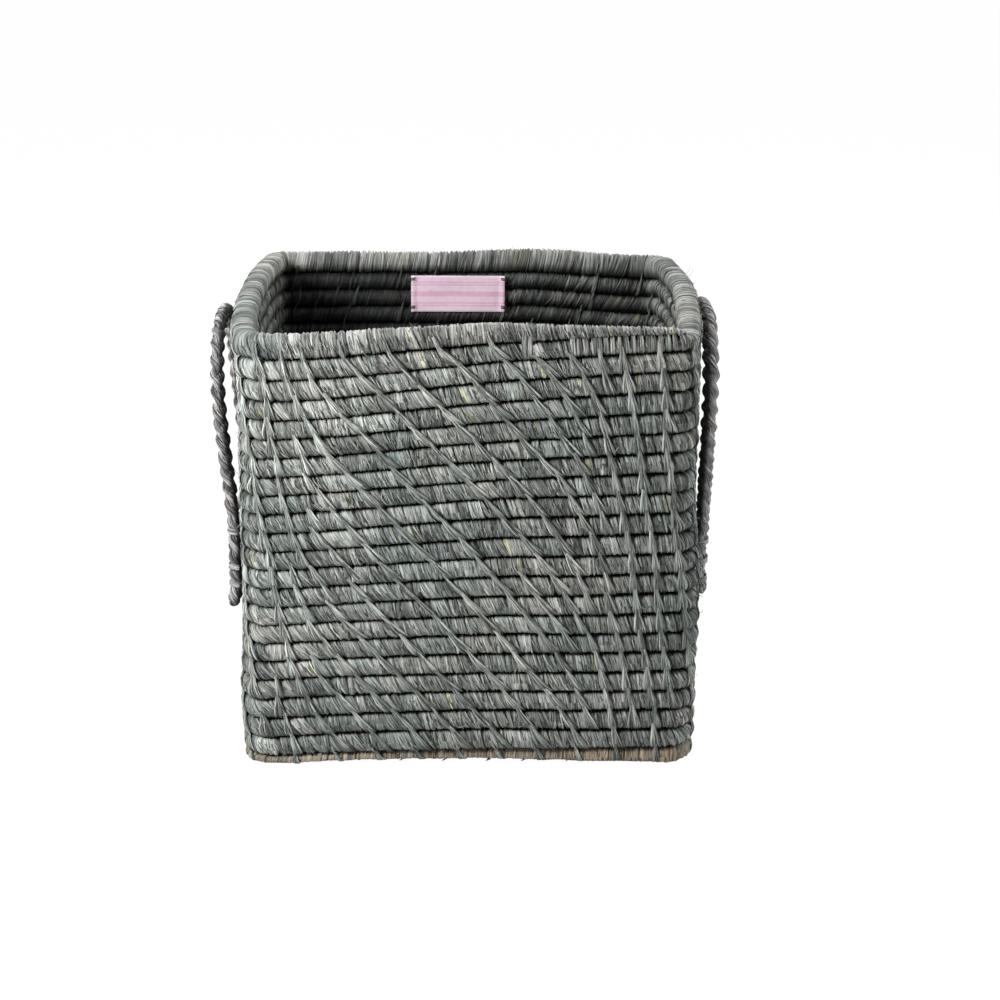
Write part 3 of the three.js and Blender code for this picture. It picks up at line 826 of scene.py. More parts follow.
def core(name, route, slot, spacing, width_share, height_share, drop=0.0):
    """The plain bundle inside a cord, painted black as shade, which closes the gaps between its rows."""
    turns = route.turns_of(np.arange(1.0, route.total - 1.0, spacing))
    centre, out, half_width, half_height = route.station(turns)
    centre = centre - UP * drop
    angles = TAU * np.arange(8) / 8
    half_width = half_width * width_share
    ground = CORE_GROUND_GAP
    if route is floor_route:
        bend = hump(side_step(turns), STRAIGHT_STEPS - 0.3, SIDE_STEPS + 0.3)
        shifting = hump(loop_and_step(turns)[1], LOOP_STEPS - 0.3, LOOP_STEPS + 1.3)
        last = smooth(turns, FLOOR_TURNS - 0.1, FLOOR_TURNS)
        extra = (CORE_CORNER * bend + CORE_STEP * shifting) * (1 - last)
        extra = extra + CORE_MIDDLE * (1 - smooth(turns, 0.4, 1.2))
        half_width = half_width * (1 - CORE_LAST_LOSS * last) + extra
        centre = centre + out * (extra - CORE_LAST_INSET * last)[:, None]
        ground = CORE_GROUND_GAP + lowest(turns)[:, None]
    across = half_width[:, None] * np.cos(angles)
    upward = (half_height * height_share)[:, None] * np.sin(angles)
    points = centre[:, None] + out[:, None] * across[..., None] + UP * upward[..., None]
    points[..., 2] = np.maximum(points[..., 2], ground)
    flat = np.zeros((1, len(turns), 9))
    # Painted shade: the whole bundle is black
    return tube_object(name, points[None], flat, flat, 0.3, 1.0, slot)


# Strands: thin flattened fibres that follow given lines


def strands(name, lines, normals, half_widths, half_thicknesses, tones, shade, slot, sides=6):
    """lines is (strands, points, 3), and the sizes and the shade are (strands, points)."""
    half_widths, half_thicknesses, shade = (
        np.broadcast_to(fact, lines.shape[:2]) for fact in (half_widths, half_thicknesses, shade)
    )
    ahead = np.gradient(lines, axis=1)
    ahead /= np.linalg.norm(ahead, axis=-1, keepdims=True) + 1e-9
    side = np.cross(ahead, np.broadcast_to(normals, lines.shape))
    side /= np.linalg.norm(side, axis=-1, keepdims=True) + 1e-9
    normal = np.cross(side, ahead)
    angles = TAU * np.arange(sides) / sides
    a = np.cos(angles)[None, None, :, None] * half_widths[..., None, None]
    b = np.sin(angles)[None, None, :, None] * half_thicknesses[..., None, None]
    points = lines[:, :, None] + side[:, :, None] * a + normal[:, :, None] * b
    points[..., 2] = np.maximum(points[..., 2], 0.0)
    steps = np.linalg.norm(np.diff(lines, axis=1), axis=-1)
    along = np.concatenate([np.zeros((len(lines), 1)), np.cumsum(steps, 1)], 1)
    across = 4.0 * half_widths.max() * np.arange(sides + 1) / sides
    u = across + 37.0 * np.arange(len(lines))[:, None, None]
    return tube_object(name, points, u, along[..., None], tones[:, None], shade[..., None], slot)


def split_strands(names, bundle, *facts, **more):
    """Strands as several pieces, cut between bundles."""
    cuts = np.linspace(0, bundle.max() + 1, len(names) + 1)
    pieces = []
    for name, low, high in zip(names, cuts[:-1], cuts[1:]):
        chosen = (bundle >= low) & (bundle < high)
        pieces.append(strands(name, *(fact[chosen] for fact in facts), **more))
    return pieces


# Faces of a cord. On the floor, where the turns lie beside each other, outwards counts as high
OUTER = 1
INNER = -1
UPPER = 2
UNDER = -2


def on_face(station, high, stand, fullness, side, least=0.0):
    """Points at a height from -1 to 1 on a section, standing off a face, and that face's direction."""
    centre, out, half_width, half_height = station
    half_width = half_width + fullness
    half_height = half_height + fullness
    if side in (OUTER, INNER):
        face, rise, reach, tall = out * side, np.broadcast_to(UP, out.shape), half_width, half_height
    else:
        face, rise, reach, tall = np.broadcast_to(UP * side / 2, out.shape), out, half_height, half_width
    profile = (1 - np.minimum(np.abs(high), 0.97) ** SECTION_POWER) ** (1 / SECTION_POWER)
    profile = np.maximum(profile, least)
    return centre + rise * (tall * high)[..., None] + face * (reach * profile + stand)[..., None], face


# Cord pieces

ROW_FULLNESS = 0.3
RIM_FULLNESS = 0.0
FLOOR_FULLNESS = 0.25

wall_names = ["wall_rows_" + number for number in "123456"]
wall_look = dict(strip_width=1.4, slant=2.3, fullness=ROW_FULLNESS, gaping=0.23, slit_width=0.23)
wall_cord = (wall_route, "grey_raffia", wall_crevice_shade, wall_inner_shade, wall_places)
wall_rows = wrapped_cord(wall_names, *wall_cord, **wall_look)
on_basket(wall_rows, "wall_coil")
rim_look = dict(strip_width=1.8, slant=1.3, fullness=RIM_FULLNESS, gaping=0.4, slit_width=0.36)
rim = wrapped_cord(["rim"], rim_route, "rim_raffia", rim_crevice_shade, rim_inner_shade, **rim_look)
on_basket(rim, "rim_coil")
floor_look = dict(strip_width=2.1, slant=2.0, fullness=FLOOR_FULLNESS, gaping=0.19, slit_width=0.19)
floor_coil = wrapped_cord(["floor_coil"], floor_route, "natural_raffia", floor_crevice_shade, **floor_look)
on_basket(floor_coil, "base_coil")

wall_shares = dict(width_share=0.6, height_share=1.2)
rim_shares = dict(width_share=0.7, height_share=0.9)
floor_shares = dict(width_share=1.18, height_share=0.6)
wall_core = core("wall_core", wall_route, "grey_raffia", spacing=9.0, **wall_shares)
rim_core = core("rim_core", rim_route, "grey_raffia", spacing=9.0, **rim_shares, drop=1.5)
floor_core = core("floor_core", floor_route, "natural_raffia", spacing=4.0, **floor_shares)
on_basket([wall_core, rim_core, floor_core])

# Stitches

# Stations of a stitch: how high on its row, whether on the row above, its stand off, width and its painted
# shade
STITCH_LINE = [
    (-0.3, 1, -0.3, 0.3, 0.0),
    (-0.45, 1, 0.7, 0.5, 0.0),
    (-0.78, 1, 1.05, 0.8, 0.0),
    (0.95, 0, 1.1, 0.95, 0.0),
    (0.65, 0, 0.9, 1.0, 0.0),
    (0.2, 0, 0.7, 1.0, 0.0),
    (-0.25, 0, 0.5, 1.0, 0.0),
    (-0.62, 0, 0.25, 0.95, 0.2),
    (-0.9, 0, -0.3, 0.8, 0.7),
    (-1.1, 0, -1.8, 0.6, 1.0),
]

# The short wraps that hold the thin start of the rim under its tail, and the splice wrap beside them
COMB_LINE = [
    (-0.7, 1, -0.6, 0.7, 0.6),
    (-0.85, 1, 0.3, 0.9, 0.2),
    (0.9, 0, 0.7, 1.0, 0.0),
    (0.5, 0, 0.65, 1.0, 0.0),
    (0.0, 0, 0.6, 1.0, 0.0),
    (-0.5, 0, 0.45, 0.95, 0.0),
    (-0.85, 0, 0.1, 0.8, 0.4),
    (-1.05, 0, -1.2, 0.6, 1.0),
]

# How much the bundles and their strands differ
BUNDLE_SPREAD = (0.35, 1.2)
BUNDLE_WIDTHS = (0.65, 1.25)
STRAND_STRAY = 0.28
CLIMBS = (0.8, 1.25)
STAND_OFFS = (-0.1, 0.2)
STRAND_WIDTHS = (0.45, 0.78)

# The least share of a section's half width that a strand stands out by, at its top and bottom
LEAST_REACH = 0.72


def stitches(
    names, route, above, places, shifts, side, fullness, each,
    slot="grey_raffia", line=STITCH_LINE, climb=1.0, apart=0.8, ground=None,
):
    """Bundles of strands over each row, from the row above into the crevice below.

    each is the number of strands in a bundle, apart how far they lie apart, and climb how far up they start.
    """
    high, on_above, stand, width, deep = (np.array(column) for column in zip(*line))
    count = len(places)
    bundle = np.repeat(np.arange(count), each)
    strand = np.tile(np.arange(each), count) - (each - 1) / 2
    use_upper = on_above > 0
    travel = np.where(use_upper, -0.5 * (1 + high), (1 - high) / 2)
    spread = lerp(*BUNDLE_SPREAD, smooth(travel, -0.3, 0.7)) if line is STITCH_LINE else 1.0 + 0 * travel
    bundle_width = rng.uniform(*BUNDLE_WIDTHS, count)[bundle][:, None]
    stray = rng.normal(0, STRAND_STRAY, (len(bundle), 1)) * travel
    forward = shifts[bundle][:, None] * travel + strand[:, None] * apart * spread * bundle_width + stray
    at = route.turns_of(places[bundle][:, None] + forward)
    climbs = (climb * rng.uniform(*CLIMBS, count))[bundle][:, None]
    level = np.where(use_upper, (1 + high) * climbs - 1, high + 0 * climbs)
    stand = stand + rng.uniform(*STAND_OFFS, (len(bundle), 1))
    own, face = on_face(route.station(at), level, stand, fullness, side, LEAST_REACH)
    upper, _ = on_face(above(at + 1), level, stand, fullness, side, LEAST_REACH)
    lines = np.where(use_upper[None, :, None], upper, own)
    if ground is not None:
        lines[..., 2] = np.maximum(lines[..., 2], ground(at) + 0.3)
    wide = rng.uniform(*STRAND_WIDTHS, (len(bundle), 1)) * width
    thick = 0.2 + 0.2 * width + 0 * at
    tones = rng.random((len(bundle), 3)) * (0.8, 1.0, COMMON_CHANCE) + (0.1, 0.0, 0.0)
    # Painted shade along the stitch, black where it goes down into the crevice
    shade = np.broadcast_to(deep, at.shape)
    # Painted shade on the inside stitches, like the inside of the wall behind them
    if side == INNER:
        shade = np.maximum(shade, 0.2 + 0.75 * inner_painted_shade(at))
    return split_strands(names, bundle, lines, face, wide, thick, tones, shade, slot=slot, sides=5)


# Over the outside of the wall, and higher where the stitch starts on the thick rim
RIM_STITCH_CLIMB = 1.85
outer_names = ["wall_stitches_" + number for number in "1234"]
outside = (wall_route, upright_station, wall_places, wall_shifts, OUTER, ROW_FULLNESS)
climb = np.where(wall_route.turns_of(wall_places) + 1 > wall_end, RIM_STITCH_CLIMB, 1.0)
on_basket(stitches(outer_names, *outside, each=6, climb=climb))

# Inside the wall, thinner and at half of the places
inner_places = wall_places[rng.random(len(wall_places)) < 0.5] + STITCH_SPACING / 3
inside = (wall_route, upright_station, inner_places, 3 + 0 * inner_places, INNER, ROW_FULLNESS)
on_basket(stitches(["wall_stitches_inside"], *inside, each=2))

# At the front right of the rim: the wraps over its thin start, and the splice wrap beside them
COMB_STEPS = (14.24, 15.7)
COMB_SPACING = 3.6
SPLICE_STEP = 13.91
comb_ends = [upright_route.length_of(turns_at(WALL_ROWS - 1, step)) for step in COMB_STEPS]
comb_places = np.arange(*comb_ends, COMB_SPACING)
comb_places = comb_places + rng.normal(0, 0.3, len(comb_places))
comb = (upright_route, upright_station, comb_places, 0.6 + 0 * comb_places, OUTER, RIM_FULLNESS)
on_basket(stitches(["rim_start_wraps"], *comb, each=3, line=COMB_LINE, apart=0.75))
splice_place = np.array([upright_route.length_of(turns_at(WALL_ROWS - 1, SPLICE_STEP))])
splice = (upright_route, upright_station, splice_place, 0.4 + 0 * splice_place, OUTER, RIM_FULLNESS)
on_basket(stitches(["rim_splice_wrap"], *splice, each=8, line=COMB_LINE, climb=3.6, apart=0.85))

# From the first row of the wall over the floor's last turn
last_turn = Route(lambda turns: floor_station(turns + FLOOR_TURNS), 0, 1)
foot_places = wall_places[(wall_places > 8) & (wall_places < wall_route.length_of(1) - 60)]
foot_shifts = stitch_shift(last_turn.turns_of(foot_places)) * 0.6
foot = (last_turn, lambda turns: wall_station(turns - 1), foot_places, foot_shifts, OUTER, FLOOR_FULLNESS)
on_basket(stitches(["foot_stitches"], *foot, each=4, ground=lambda turns: lowest(turns + FLOOR_TURNS)))


def next_floor_turn(turns):
    return floor_station(np.minimum(turns, FLOOR_TURNS + 1))


FLOOR_STITCH_SPACING = 21.0
floor_places = np.arange(floor_route.length_of(1.2), floor_route.length_of(FLOOR_TURNS), FLOOR_STITCH_SPACING)
floor_places = floor_places + rng.normal(0, 2.5, len(floor_places))
for name, side in (("floor_stitches_upper", UPPER), ("floor_stitches_under", UNDER)):
    turn_by_turn = (floor_route, next_floor_turn, floor_places, 6 + 0 * floor_places, side, 0.2)
    on_basket(stitches([name], *turn_by_turn, each=3, slot="natural_raffia"))

# Loose fibres that lie over the wraps, and frayed ones that stand off


def loose_fibres(names, route, count, side, fullness, slot):
    """Thin fibres that lie across a row with both ends under its wraps."""
    at = rng.uniform(4, route.total - 4, count)
    along = np.linspace(0, 1, 6)
    start = rng.uniform(0.35, 0.93, (count, 1))
    finish = rng.uniform(-0.93, -0.25, (count, 1))
    high = lerp(start, finish, along)
    lean = 2.2 * slant_share(route.turns_of(at)) * rng.normal(1, 0.35, count)
    arch = np.sin(math.pi * along)
    forward = -lean[:, None] * high + rng.normal(0, 0.5, (count, 1)) * arch
    stand = rng.uniform(0.5, 0.85, (count, 1)) * np.maximum(arch, 0) ** 0.6 - 0.25
    station = route.station(route.turns_of(at[:, None] + forward))
    lines, face = on_face(station, high, stand, fullness, side)
    wide = rng.uniform(0.16, 0.4, (count, 1)) * (0.55 + 0.45 * arch)
    thick = 0.15 + 0 * wide
    tones = rng.random((count, 3))
    tones[:, 2] = np.where(rng.random(count) < YELLOWED_FIBRES, 1.0, COMMON_CHANCE * tones[:, 2])
    # Painted shade at the fibre ends, where they go under the wraps, and on the inside the wall's painted
    # shade
    shade = 0.3 * (1 - arch) + 0 * high
    if side == INNER:
        shade = np.maximum(shade, wall_inner_shade(route.turns_of(at)[:, None], high))
    order = (np.argsort(np.argsort(at)) / count * 100).astype(int)
    return split_strands(names, order, lines, face, wide, thick, tones, shade, slot=slot, sides=4)


low_and_high = ["loose_fibres_low", "loose_fibres_high"]
on_basket(loose_fibres(low_and_high, wall_route, 6400, OUTER, ROW_FULLNESS, "grey_raffia"))
on_basket(loose_fibres(["loose_fibres_inside"], wall_route, 1500, INNER, ROW_FULLNESS, "grey_raffia"))
on_basket(loose_fibres(["loose_fibres_rim"], rim_route, 600, OUTER, RIM_FULLNESS, "rim_raffia"))


def frayed_fibres(name, route, count, fullness, slot):
    """Thin ends of raffia that have come loose and curl off the face."""
    at = rng.uniform(4, route.total - 4, count)
    high = rng.uniform(-0.85, 0.85, count)
    station = route.station(route.turns_of(at))
    root, face = on_face(station, high, -0.4, fullness, OUTER)
    sideways = np.cross(UP, face)
    t = np.linspace(0, 1, 6)[None, :, None]
    reach = rng.uniform(1.0, 3.4, (count, 1, 1))
    drift = rng.normal(0, 3.0, (count, 1, 1))
    rise = rng.normal(0, 2.4, (count, 1, 1))
    curl = rng.normal(0, 1.6, (count, 1, 1))
    lines = root[:, None] + face[:, None] * reach * np.sin(2.2 * t)
    lines = lines + sideways[:, None] * (drift * t + curl * t * t) + UP * (rise * t - curl * t * t)
    wide = np.linspace(0.22, 0.1, 6)
    tones = 0.3 + 0.7 * rng.random((count, 3))
    return strands(name, lines, face[:, None], wide, 0.6 * wide, tones, 0.0, slot, sides=3)


wall_frays = frayed_fibres("frayed_fibres", wall_route, 420, ROW_FULLNESS, "grey_raffia")
rim_frays = frayed_fibres("frayed_fibres_rim", rim_route, 90, RIM_FULLNESS, "rim_raffia")
on_basket([wall_frays, rim_frays])

# Handles

TOUCH_GAP = 0.3
ROPE_RADIUS = 4.2
LEG_SPACING = 110.0
TOP_LENGTH = 20.0
LEAN_HALF_WAVES = 0.5
CLEARANCE = 0.5
SEWN_HALF_THICKNESS = 3.6
BINDING_HEIGHT = 3.6
BINDING_TURNS = 3
BINDING_REACH = 4.6
BINDING_THREAD = (0.58, 0.4)
ROPE_STEP = 1.2
STRAND_YARNS = 13
YARN_TWIST = 27.0

# The plait turns to and fro and its strands wander, by so much over so many mm. Its sewn ends are fuller
PLAIT_TWIST = (0.9, 70)
STRAND_WANDER = (0.35, 23)
SEWN_FULLER = 1.14

# Where each rope is sewn on and how high it stands, then the look of its plait. shaded is how far behind the
# rope's middle line, towards the wall, a yarn's painted shade starts and is darkest
HANDLES = {
    "left": dict(
        turn=math.pi, step=SIDE_STEPS + STRAIGHT_STEPS / 2, leg_steps=(8.27, 6.73), rows=[7, 8, 10],
        tail=14.0, rise=105.5, lean=7.6, sewn_stand=0.7,
        plait_length=29.0, seed=0.4, swing=(1.2, 1.1), thickness=2.2, fuller=1.05,
        least_tone=0.05, shaded=(0.3, 2.0),
    ),
    "right": dict(
        turn=0.0, step=3 * SIDE_STEPS + STRAIGHT_STEPS / 2, leg_steps=(18.73, 20.27), rows=[7, 8, 9],
        tail=9.0, rise=116.0, lean=2.0, sewn_stand=0.0,
        plait_length=30.0, seed=2.1, swing=(1.45, 1.25), thickness=2.15, fuller=1.2,
        # The right rope's yarns start at a lighter tone: painted light, as if lit from the right
        least_tone=0.8, shaded=(-0.4, 1.4),
    ),
}


def leg_face(height):
    """Outside of the wall behind a handle's leg, as in the CAD model."""
    span, corner, inset = wall_plan((height - FIRST_ROW_BOTTOM) / ROW_PITCH)
    from_middle = LEG_SPACING / 2 / (span - inset - corner)
    return span + COIL_HALF_WIDTH - inset * ramp(from_middle, 1 / STRAIGHT_STEPS, 1)


def handle_path(facts, hinge_height, hinge_offset, leg_bottom):
    """The rope's middle line, from one sewn end over the loop to the other, drawn for the right wall."""
    half = LEG_SPACING / 2
    corner = half - TOP_LENGTH / 2
    rise = facts["rise"]
    leg_rise = rise - corner
    path = []
    for z in np.arange(leg_bottom, hinge_height - 4, 2.0):
        bulge = facts["sewn_stand"] + 2.2 * (1 - smooth(z, leg_bottom, leg_bottom + 14))
        path.append((leg_face(z) + TOUCH_GAP + SEWN_HALF_THICKNESS + bulge, -half, z))

    def stand(z):
        lean = facts["lean"] * math.sin(LEAN_HALF_WAVES * math.pi * z / rise)
        return hinge_offset + lean + leg_face(hinge_height + z) - leg_face(hinge_height)

    for z in np.arange(0, leg_rise, 2.0):
        path.append((stand(z), -half, hinge_height + z))
    for angle in np.linspace(0, math.pi / 2, 36):
        z = leg_rise + corner * math.sin(angle)
        path.append((stand(z), -half + corner * (1 - math.cos(angle)), hinge_height + z))
    mirrored = [(x, -y, z) for x, y, z in reversed(path)]
    return np.array(path + mirrored)


def evenly(path, spacing):
    """The path in even steps, smoothed, and the length at each of them."""
    steps = np.linalg.norm(np.diff(path, axis=0), axis=1)
    length = np.concatenate([[0], np.cumsum(steps)])
    where = np.linspace(0, length[-1], int(length[-1] / spacing))
    even = np.stack([np.interp(where, length, path[:, k]) for k in range(3)], -1)
    padded = np.concatenate([np.repeat(even[:1], 2, 0), even, np.repeat(even[-1:], 2, 0)])
    return np.stack([np.convolve(padded[:, k], np.ones(5) / 5, "valid") for k in range(3)], -1), where


def turned(points, angle):
    c, s = math.cos(angle), math.sin(angle)
    return points @ np.array([[c, s, 0], [-s, c, 0], [0, 0, 1]])


def plait(path, where, facts, hinge_height, binding_heights):
    """Three strands of several yarns each, plaited round the path, with all that strands() asks for."""
    seed, thickness = facts["seed"], facts["thickness"]
    ahead = np.gradient(path, axis=0)
    ahead /= np.linalg.norm(ahead, axis=1, keepdims=True)
    lateral = np.cross(ahead, np.array([1.0, 0, 0]))
    lateral /= np.linalg.norm(lateral, axis=1, keepdims=True)
    outward = np.cross(lateral, ahead)
    free = smooth(path[:, 2], hinge_height, hinge_height + 40)
    twist = PLAIT_TWIST[0] * np.sin(where / PLAIT_TWIST[1] + seed) * free
    wide = lateral * np.cos(twist)[:, None] + outward * np.sin(twist)[:, None]
    deep = np.cross(wide, ahead)
    close = np.minimum(ramp(where, -0.5, 5), ramp(where[-1] - where, -0.5, 5)) ** 0.5
    sewn = 1 - free
    for height in binding_heights:
        close = close * (1 - 0.1 * sewn * np.exp(-(((path[:, 2] - height) / 2.5) ** 2)))
    fuller = lerp(SEWN_FULLER, facts["fuller"], free)
    close = close * fuller
    sideways, inwards = facts["swing"]
    fibres = []
    for k in range(3):
        wander = STRAND_WANDER[0] * np.sin(where / STRAND_WANDER[1] + seed)
        phase = TAU * (where / facts["plait_length"] + k / 3) + wander
        swing = wide * (sideways * np.sin(phase) * close)[:, None]
        middle = path + swing + deep * (inwards * np.sin(2 * phase) * close)[:, None]
        inside = (0.85 * thickness * close, 0.75 * thickness * close)
        # A black core yarn in each strand: painted shade between the yarns
        fibres.append((middle, deep, *inside, [0, 0.5, 0.5], 0 * where + 1))
        for yarn in range(STRAND_YARNS):
            angle = TAU * (yarn / STRAND_YARNS + where / YARN_TWIST) + k + rng.normal(0, 0.1)
            spread = thickness * close * rng.uniform(0.9, 1.12)
            line = middle + wide * (spread * np.cos(angle))[:, None]
            line = line + deep * (0.9 * spread * np.sin(angle))[:, None]
            half_wide = rng.uniform(0.38, 0.62) * close / fuller**0.5
            tones = [lerp(facts["least_tone"], 1, rng.random()), rng.random(), rng.random()]
            # Painted shade: black towards the rope's middle, and on the side towards the wall
            shade_between_strands = 0.9 * (1 - smooth(np.linalg.norm(line - path, axis=1), 1.4, 2.9))
            to_wall = path[:, 0] - line[:, 0]
            shade = np.maximum(shade_between_strands, 0.97 * smooth(to_wall, *facts["shaded"]))
            fibres.append((line, deep, half_wide, 0.4 * close, tones, shade))
    return [np.array(part) for part in zip(*fibres)]


def binding_arcs(height, y):
    """The turns of raffia over a sewn end, with both feet on the wall."""
    arcs = []
    for k in range(BINDING_TURNS):
        z = height + (k - (BINDING_TURNS - 1) / 2) * 1.0
        angle = np.linspace(-0.62 * math.pi, 0.62 * math.pi, 15)
        base = float(leg_face(z))
        reach = BINDING_REACH + rng.uniform(-0.1, 0.2)
        xs = np.maximum(base + TOUCH_GAP + SEWN_HALF_THICKNESS + reach * np.cos(angle), base - 0.3)
        ys = y + (reach + 0.7) * np.sin(angle)
        zs = z + 0.9 * np.sin(angle * 1.2 + 0.4) + rng.normal(0, 0.2)
        arcs.append(np.stack([xs, ys, zs], -1))
    return np.array(arcs)


for side, facts in HANDLES.items():
    rows = [row_bottom(turns_at(row, facts["step"])) for row in facts["rows"]]
    heights = [float(row) - ROW_GAP / 2 for row in rows]
    leg_bottom = heights[0] - facts["tail"]
    leg_top = heights[-1] + BINDING_HEIGHT / 2 + CLEARANCE
    hinge_height = leg_top + TOUCH_GAP + ROPE_RADIUS
    hinge_offset = float(leg_face(hinge_height)) + CLEARANCE + ROPE_RADIUS
    path, where = evenly(handle_path(facts, hinge_height, hinge_offset, leg_bottom), ROPE_STEP)
    lines, normals, *looks = plait(path, where, facts, hinge_height, heights)
    lines, normals = turned(lines, facts["turn"]), turned(normals, facts["turn"])
    rope = strands(side + "_rope", lines, normals, *looks, "plaited_rope")
    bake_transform(rope)
    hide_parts(side + "_handle_loop", side + "_handle_front_end", side + "_handle_back_end")
    for y_sign, leg_step in zip((-1, 1), facts["leg_steps"]):
        end = "front" if (y_sign < 0) == (side == "right") else "back"
        for place, row in zip(("lower", "middle", "upper"), rows):
            height = float(lifted(row, leg_step)) - ROW_GAP / 2
            arcs = binding_arcs(height, y_sign * LEG_SPACING / 2)
            face = arcs - arcs.mean(axis=1, keepdims=True)
            face[..., 2] = 0
            face = face / np.linalg.norm(face, axis=-1, keepdims=True)
            arcs, face = turned(arcs, facts["turn"]), turned(face, facts["turn"])
            tones = 0.3 + 0.7 * rng.random((BINDING_TURNS, 3))
            name = "_".join([side, end, place, "wraps"])
            binding = strands(name, arcs, face, *BINDING_THREAD, tones, 0.0, "binding_raffia")
            on_basket([binding], "_".join([side, end, "binding", place]))

# Label

LABEL_FOLD = 3.2
LABEL_FOLD_THICKNESS = 0.7
LABEL_RIPPLE = 0.4
THREAD_HALF_THICKNESS = 0.32
label_low, label_high = (np.array(corner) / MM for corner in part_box("label"))


def label_piece():
    """A satin strip, gently rippled, with its ends folded under, so thicker there."""
    across, upward = 58, 22
    x = np.linspace(label_low[0], label_high[0], across + 1)
    z = np.linspace(label_low[2], label_high[2], upward + 1)
    gx, gz = np.meshgrid(x, z, indexing="ij")
    edge = np.minimum(gx - x[0], x[-1] - gx)
    fold = smooth(LABEL_FOLD - edge, 0.0, 0.6) * LABEL_FOLD_THICKNESS
    ripple = LABEL_RIPPLE * np.sin(gx / 7.0) * np.sin((gz - z[0]) / 5.5) * ramp(edge, 0, 9)
    back = label_high[1]
    front = np.stack([gx, back - 1.0 - fold - 0.25 - ripple, gz], -1)
    behind = np.stack([gx, back + 0 * gx, gz], -1)[:, ::-1]
    ring = np.concatenate([front, behind], axis=1)
    v = np.concatenate([ring[..., 2], ring[:, :1, 2]], 1) - z[0]
    u = (x - x[0])[None, :, None]
    return tube_object("label_cloth", ring[None], u, v[None], 0.5, 0.0, "label_satin")


def thread_piece(name, node):
    """Two loops of thread over a corner of the label, between the CAD thread's ends."""
    low, high = (np.array(corner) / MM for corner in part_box(node))
    outer, inner = (low[0], high[0]) if low[0] < label_low[0] else (high[0], low[0])
    z = (low[2] + high[2]) / 2
    front = low[1] + 0.3
    corner = [(outer, high[1] + 0.6), (outer, front + 0.5), (outer * 0.93 + inner * 0.07, front)]
    corner += [(inner, front), (inner, front + 1.2)]
    lines = [[(x, y, z + shift + 0.25 * k) for k, (x, y) in enumerate(corner)] for shift in (-0.5, 0.5)]
    tones = rng.random((2, 3))
    size = THREAD_HALF_THICKNESS
    return strands(name, np.array(lines), (0.0, -1.0, 0.3), size, size, tones, 0.0, "dark_thread")


label = label_piece()
on_basket([label], "label")
threads = []
for edge in ("lower", "upper"):
    for end in ("left", "right"):
        node = "_".join(["label_thread", edge, end])
        threads.append(thread_piece("_".join([end, edge, "stitch_of_label"]), node))
        on_basket(threads[-1:], node)

# Stage

STAGE_HALF_SIZE = 6.0
STAGE_DROP = 0.0002
STAGE_GLOW = 1.06
STAGE_GLOW_SHARE = 0.93


def stage_plane():
    """A white ground that glows evenly where it is seen, and only throws light back where it isn't."""
    mesh = bpy.data.meshes.new("floor")
    s = STAGE_HALF_SIZE
    mesh.from_pydata([(-s, -s, 0), (s, -s, 0), (s, s, 0), (-s, s, 0)], [], [(0, 1, 2, 3)])
    plane = bpy.data.objects.new("floor", mesh)
    plane.location.z = -STAGE_DROP
    bpy.context.scene.collection.objects.link(plane)
    material = bpy.data.materials.new("floor")
    n = Nodes(material)
    shader, output = n.tree.nodes["Principled BSDF"], n.tree.nodes["Material Output"]
    n.set(shader, {"Base Color": (0.8, 0.8, 0.8, 1), "Roughness": 0.9, "Specular IOR Level": 0.0})
    glow = n.add("Emission", {"Strength": STAGE_GLOW})
    rays = n.add("LightPath").outputs
    seen = n.greatest(rays["Is Camera Ray"], rays["Is Glossy Ray"], rays["Is Transmission Ray"])
    mixed = {0: n.times(seen, STAGE_GLOW_SHARE), 1: shader.outputs[0], 2: glow.outputs[0]}
    n.set(output, {0: n.add("MixShader", mixed).outputs[0]})
    mesh.materials.append(material)


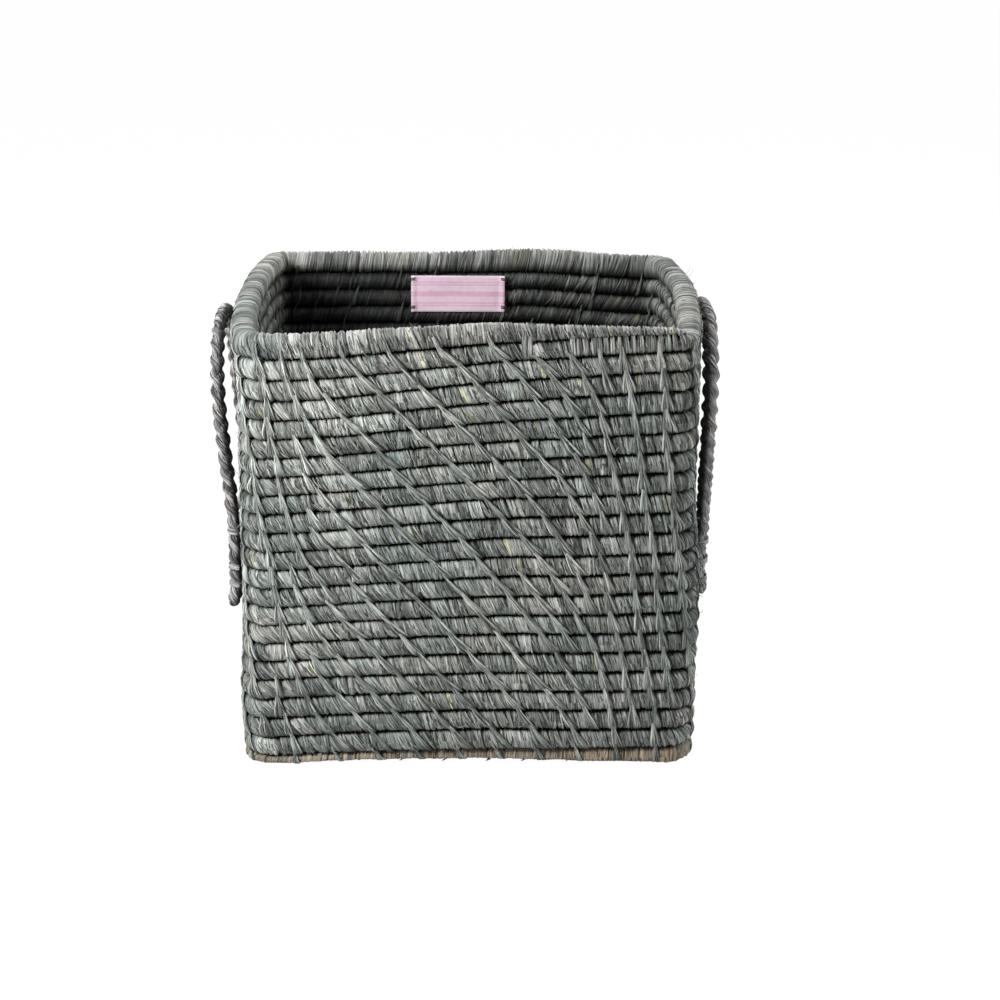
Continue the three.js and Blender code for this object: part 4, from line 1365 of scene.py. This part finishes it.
def world_light(strength):
    """White where it is seen, half as bright in reflections, and of the given strength as light."""
    world = bpy.data.worlds.new("studio")
    bpy.context.scene.world = world
    n = Nodes(world)
    rays = n.add("LightPath").outputs
    reflected = n.times(rays["Is Glossy Ray"], 0.5)
    light = n.greatest(rays["Is Camera Ray"], rays["Is Transmission Ray"], reflected, strength)
    n.set(n.tree.nodes["Background"], {"Color": (1, 1, 1, 1), "Strength": light})


def area_light(name, place, height, size, power):
    data = bpy.data.lights.new(name, "AREA")
    data.shape = "DISK"
    data.size = size
    data.energy = power
    lamp = bpy.data.objects.new(name, data)
    lamp.location = place
    towards = Vector((0, 0, height)) - Vector(place)
    lamp.rotation_euler = towards.to_track_quat("-Z", "Y").to_euler()
    bpy.context.scene.collection.objects.link(lamp)


CAMERA_TARGET = Vector((18.80, 0.0, 116.15)) * MM
CAMERA_DISTANCE = 1432.6 * MM
CAMERA_ELEVATION = math.radians(15.937)
CAMERA_YAW = math.radians(-1.29)
CAMERA_ROLL = math.radians(0.488)
FOCAL_PIXELS = 2447.9
IMAGE_SIDE = 1000
SENSOR_MM = 36.0


def photo_camera():
    data = bpy.data.cameras.new("camera")
    data.sensor_width = SENSOR_MM
    data.lens = FOCAL_PIXELS * SENSOR_MM / IMAGE_SIDE
    data.clip_end = 20
    camera = bpy.data.objects.new("camera", data)
    aside = Matrix.Rotation(CAMERA_YAW, 4, "Z")
    raised = Matrix.Rotation(math.pi / 2 - CAMERA_ELEVATION, 4, "X")
    away = Matrix.Translation((0, 0, CAMERA_DISTANCE))
    rolled = Matrix.Rotation(CAMERA_ROLL, 4, "Z")
    camera.matrix_world = Matrix.Translation(CAMERA_TARGET) @ aside @ raised @ away @ rolled
    bpy.context.scene.collection.objects.link(camera)
    bpy.context.scene.camera = camera


# Each lamp's place and the height it points at, in metres, with its size and power
LIGHTS = {
    "key": ((-0.46, -0.4, 0.46), 0.15, 0.22, 6.6),
    "top": ((0.1, 0.35, 1.6), 0.2, 0.6, 13),
    "fill": ((1.6, -0.5, 0.7), 0.12, 1.0, 3),
    "side": ((1.5, 0.2, 0.7), 0.15, 0.7, 14),
    "back": ((-0.1, 1.6, 0.9), 0.12, 1.0, 13),
}
WORLD_LIGHT = 0.09

stage_plane()
world_light(WORLD_LIGHT)
for name, facts in LIGHTS.items():
    area_light(name, *facts)
photo_camera()
bpy.context.scene.view_settings.view_transform = "Standard"
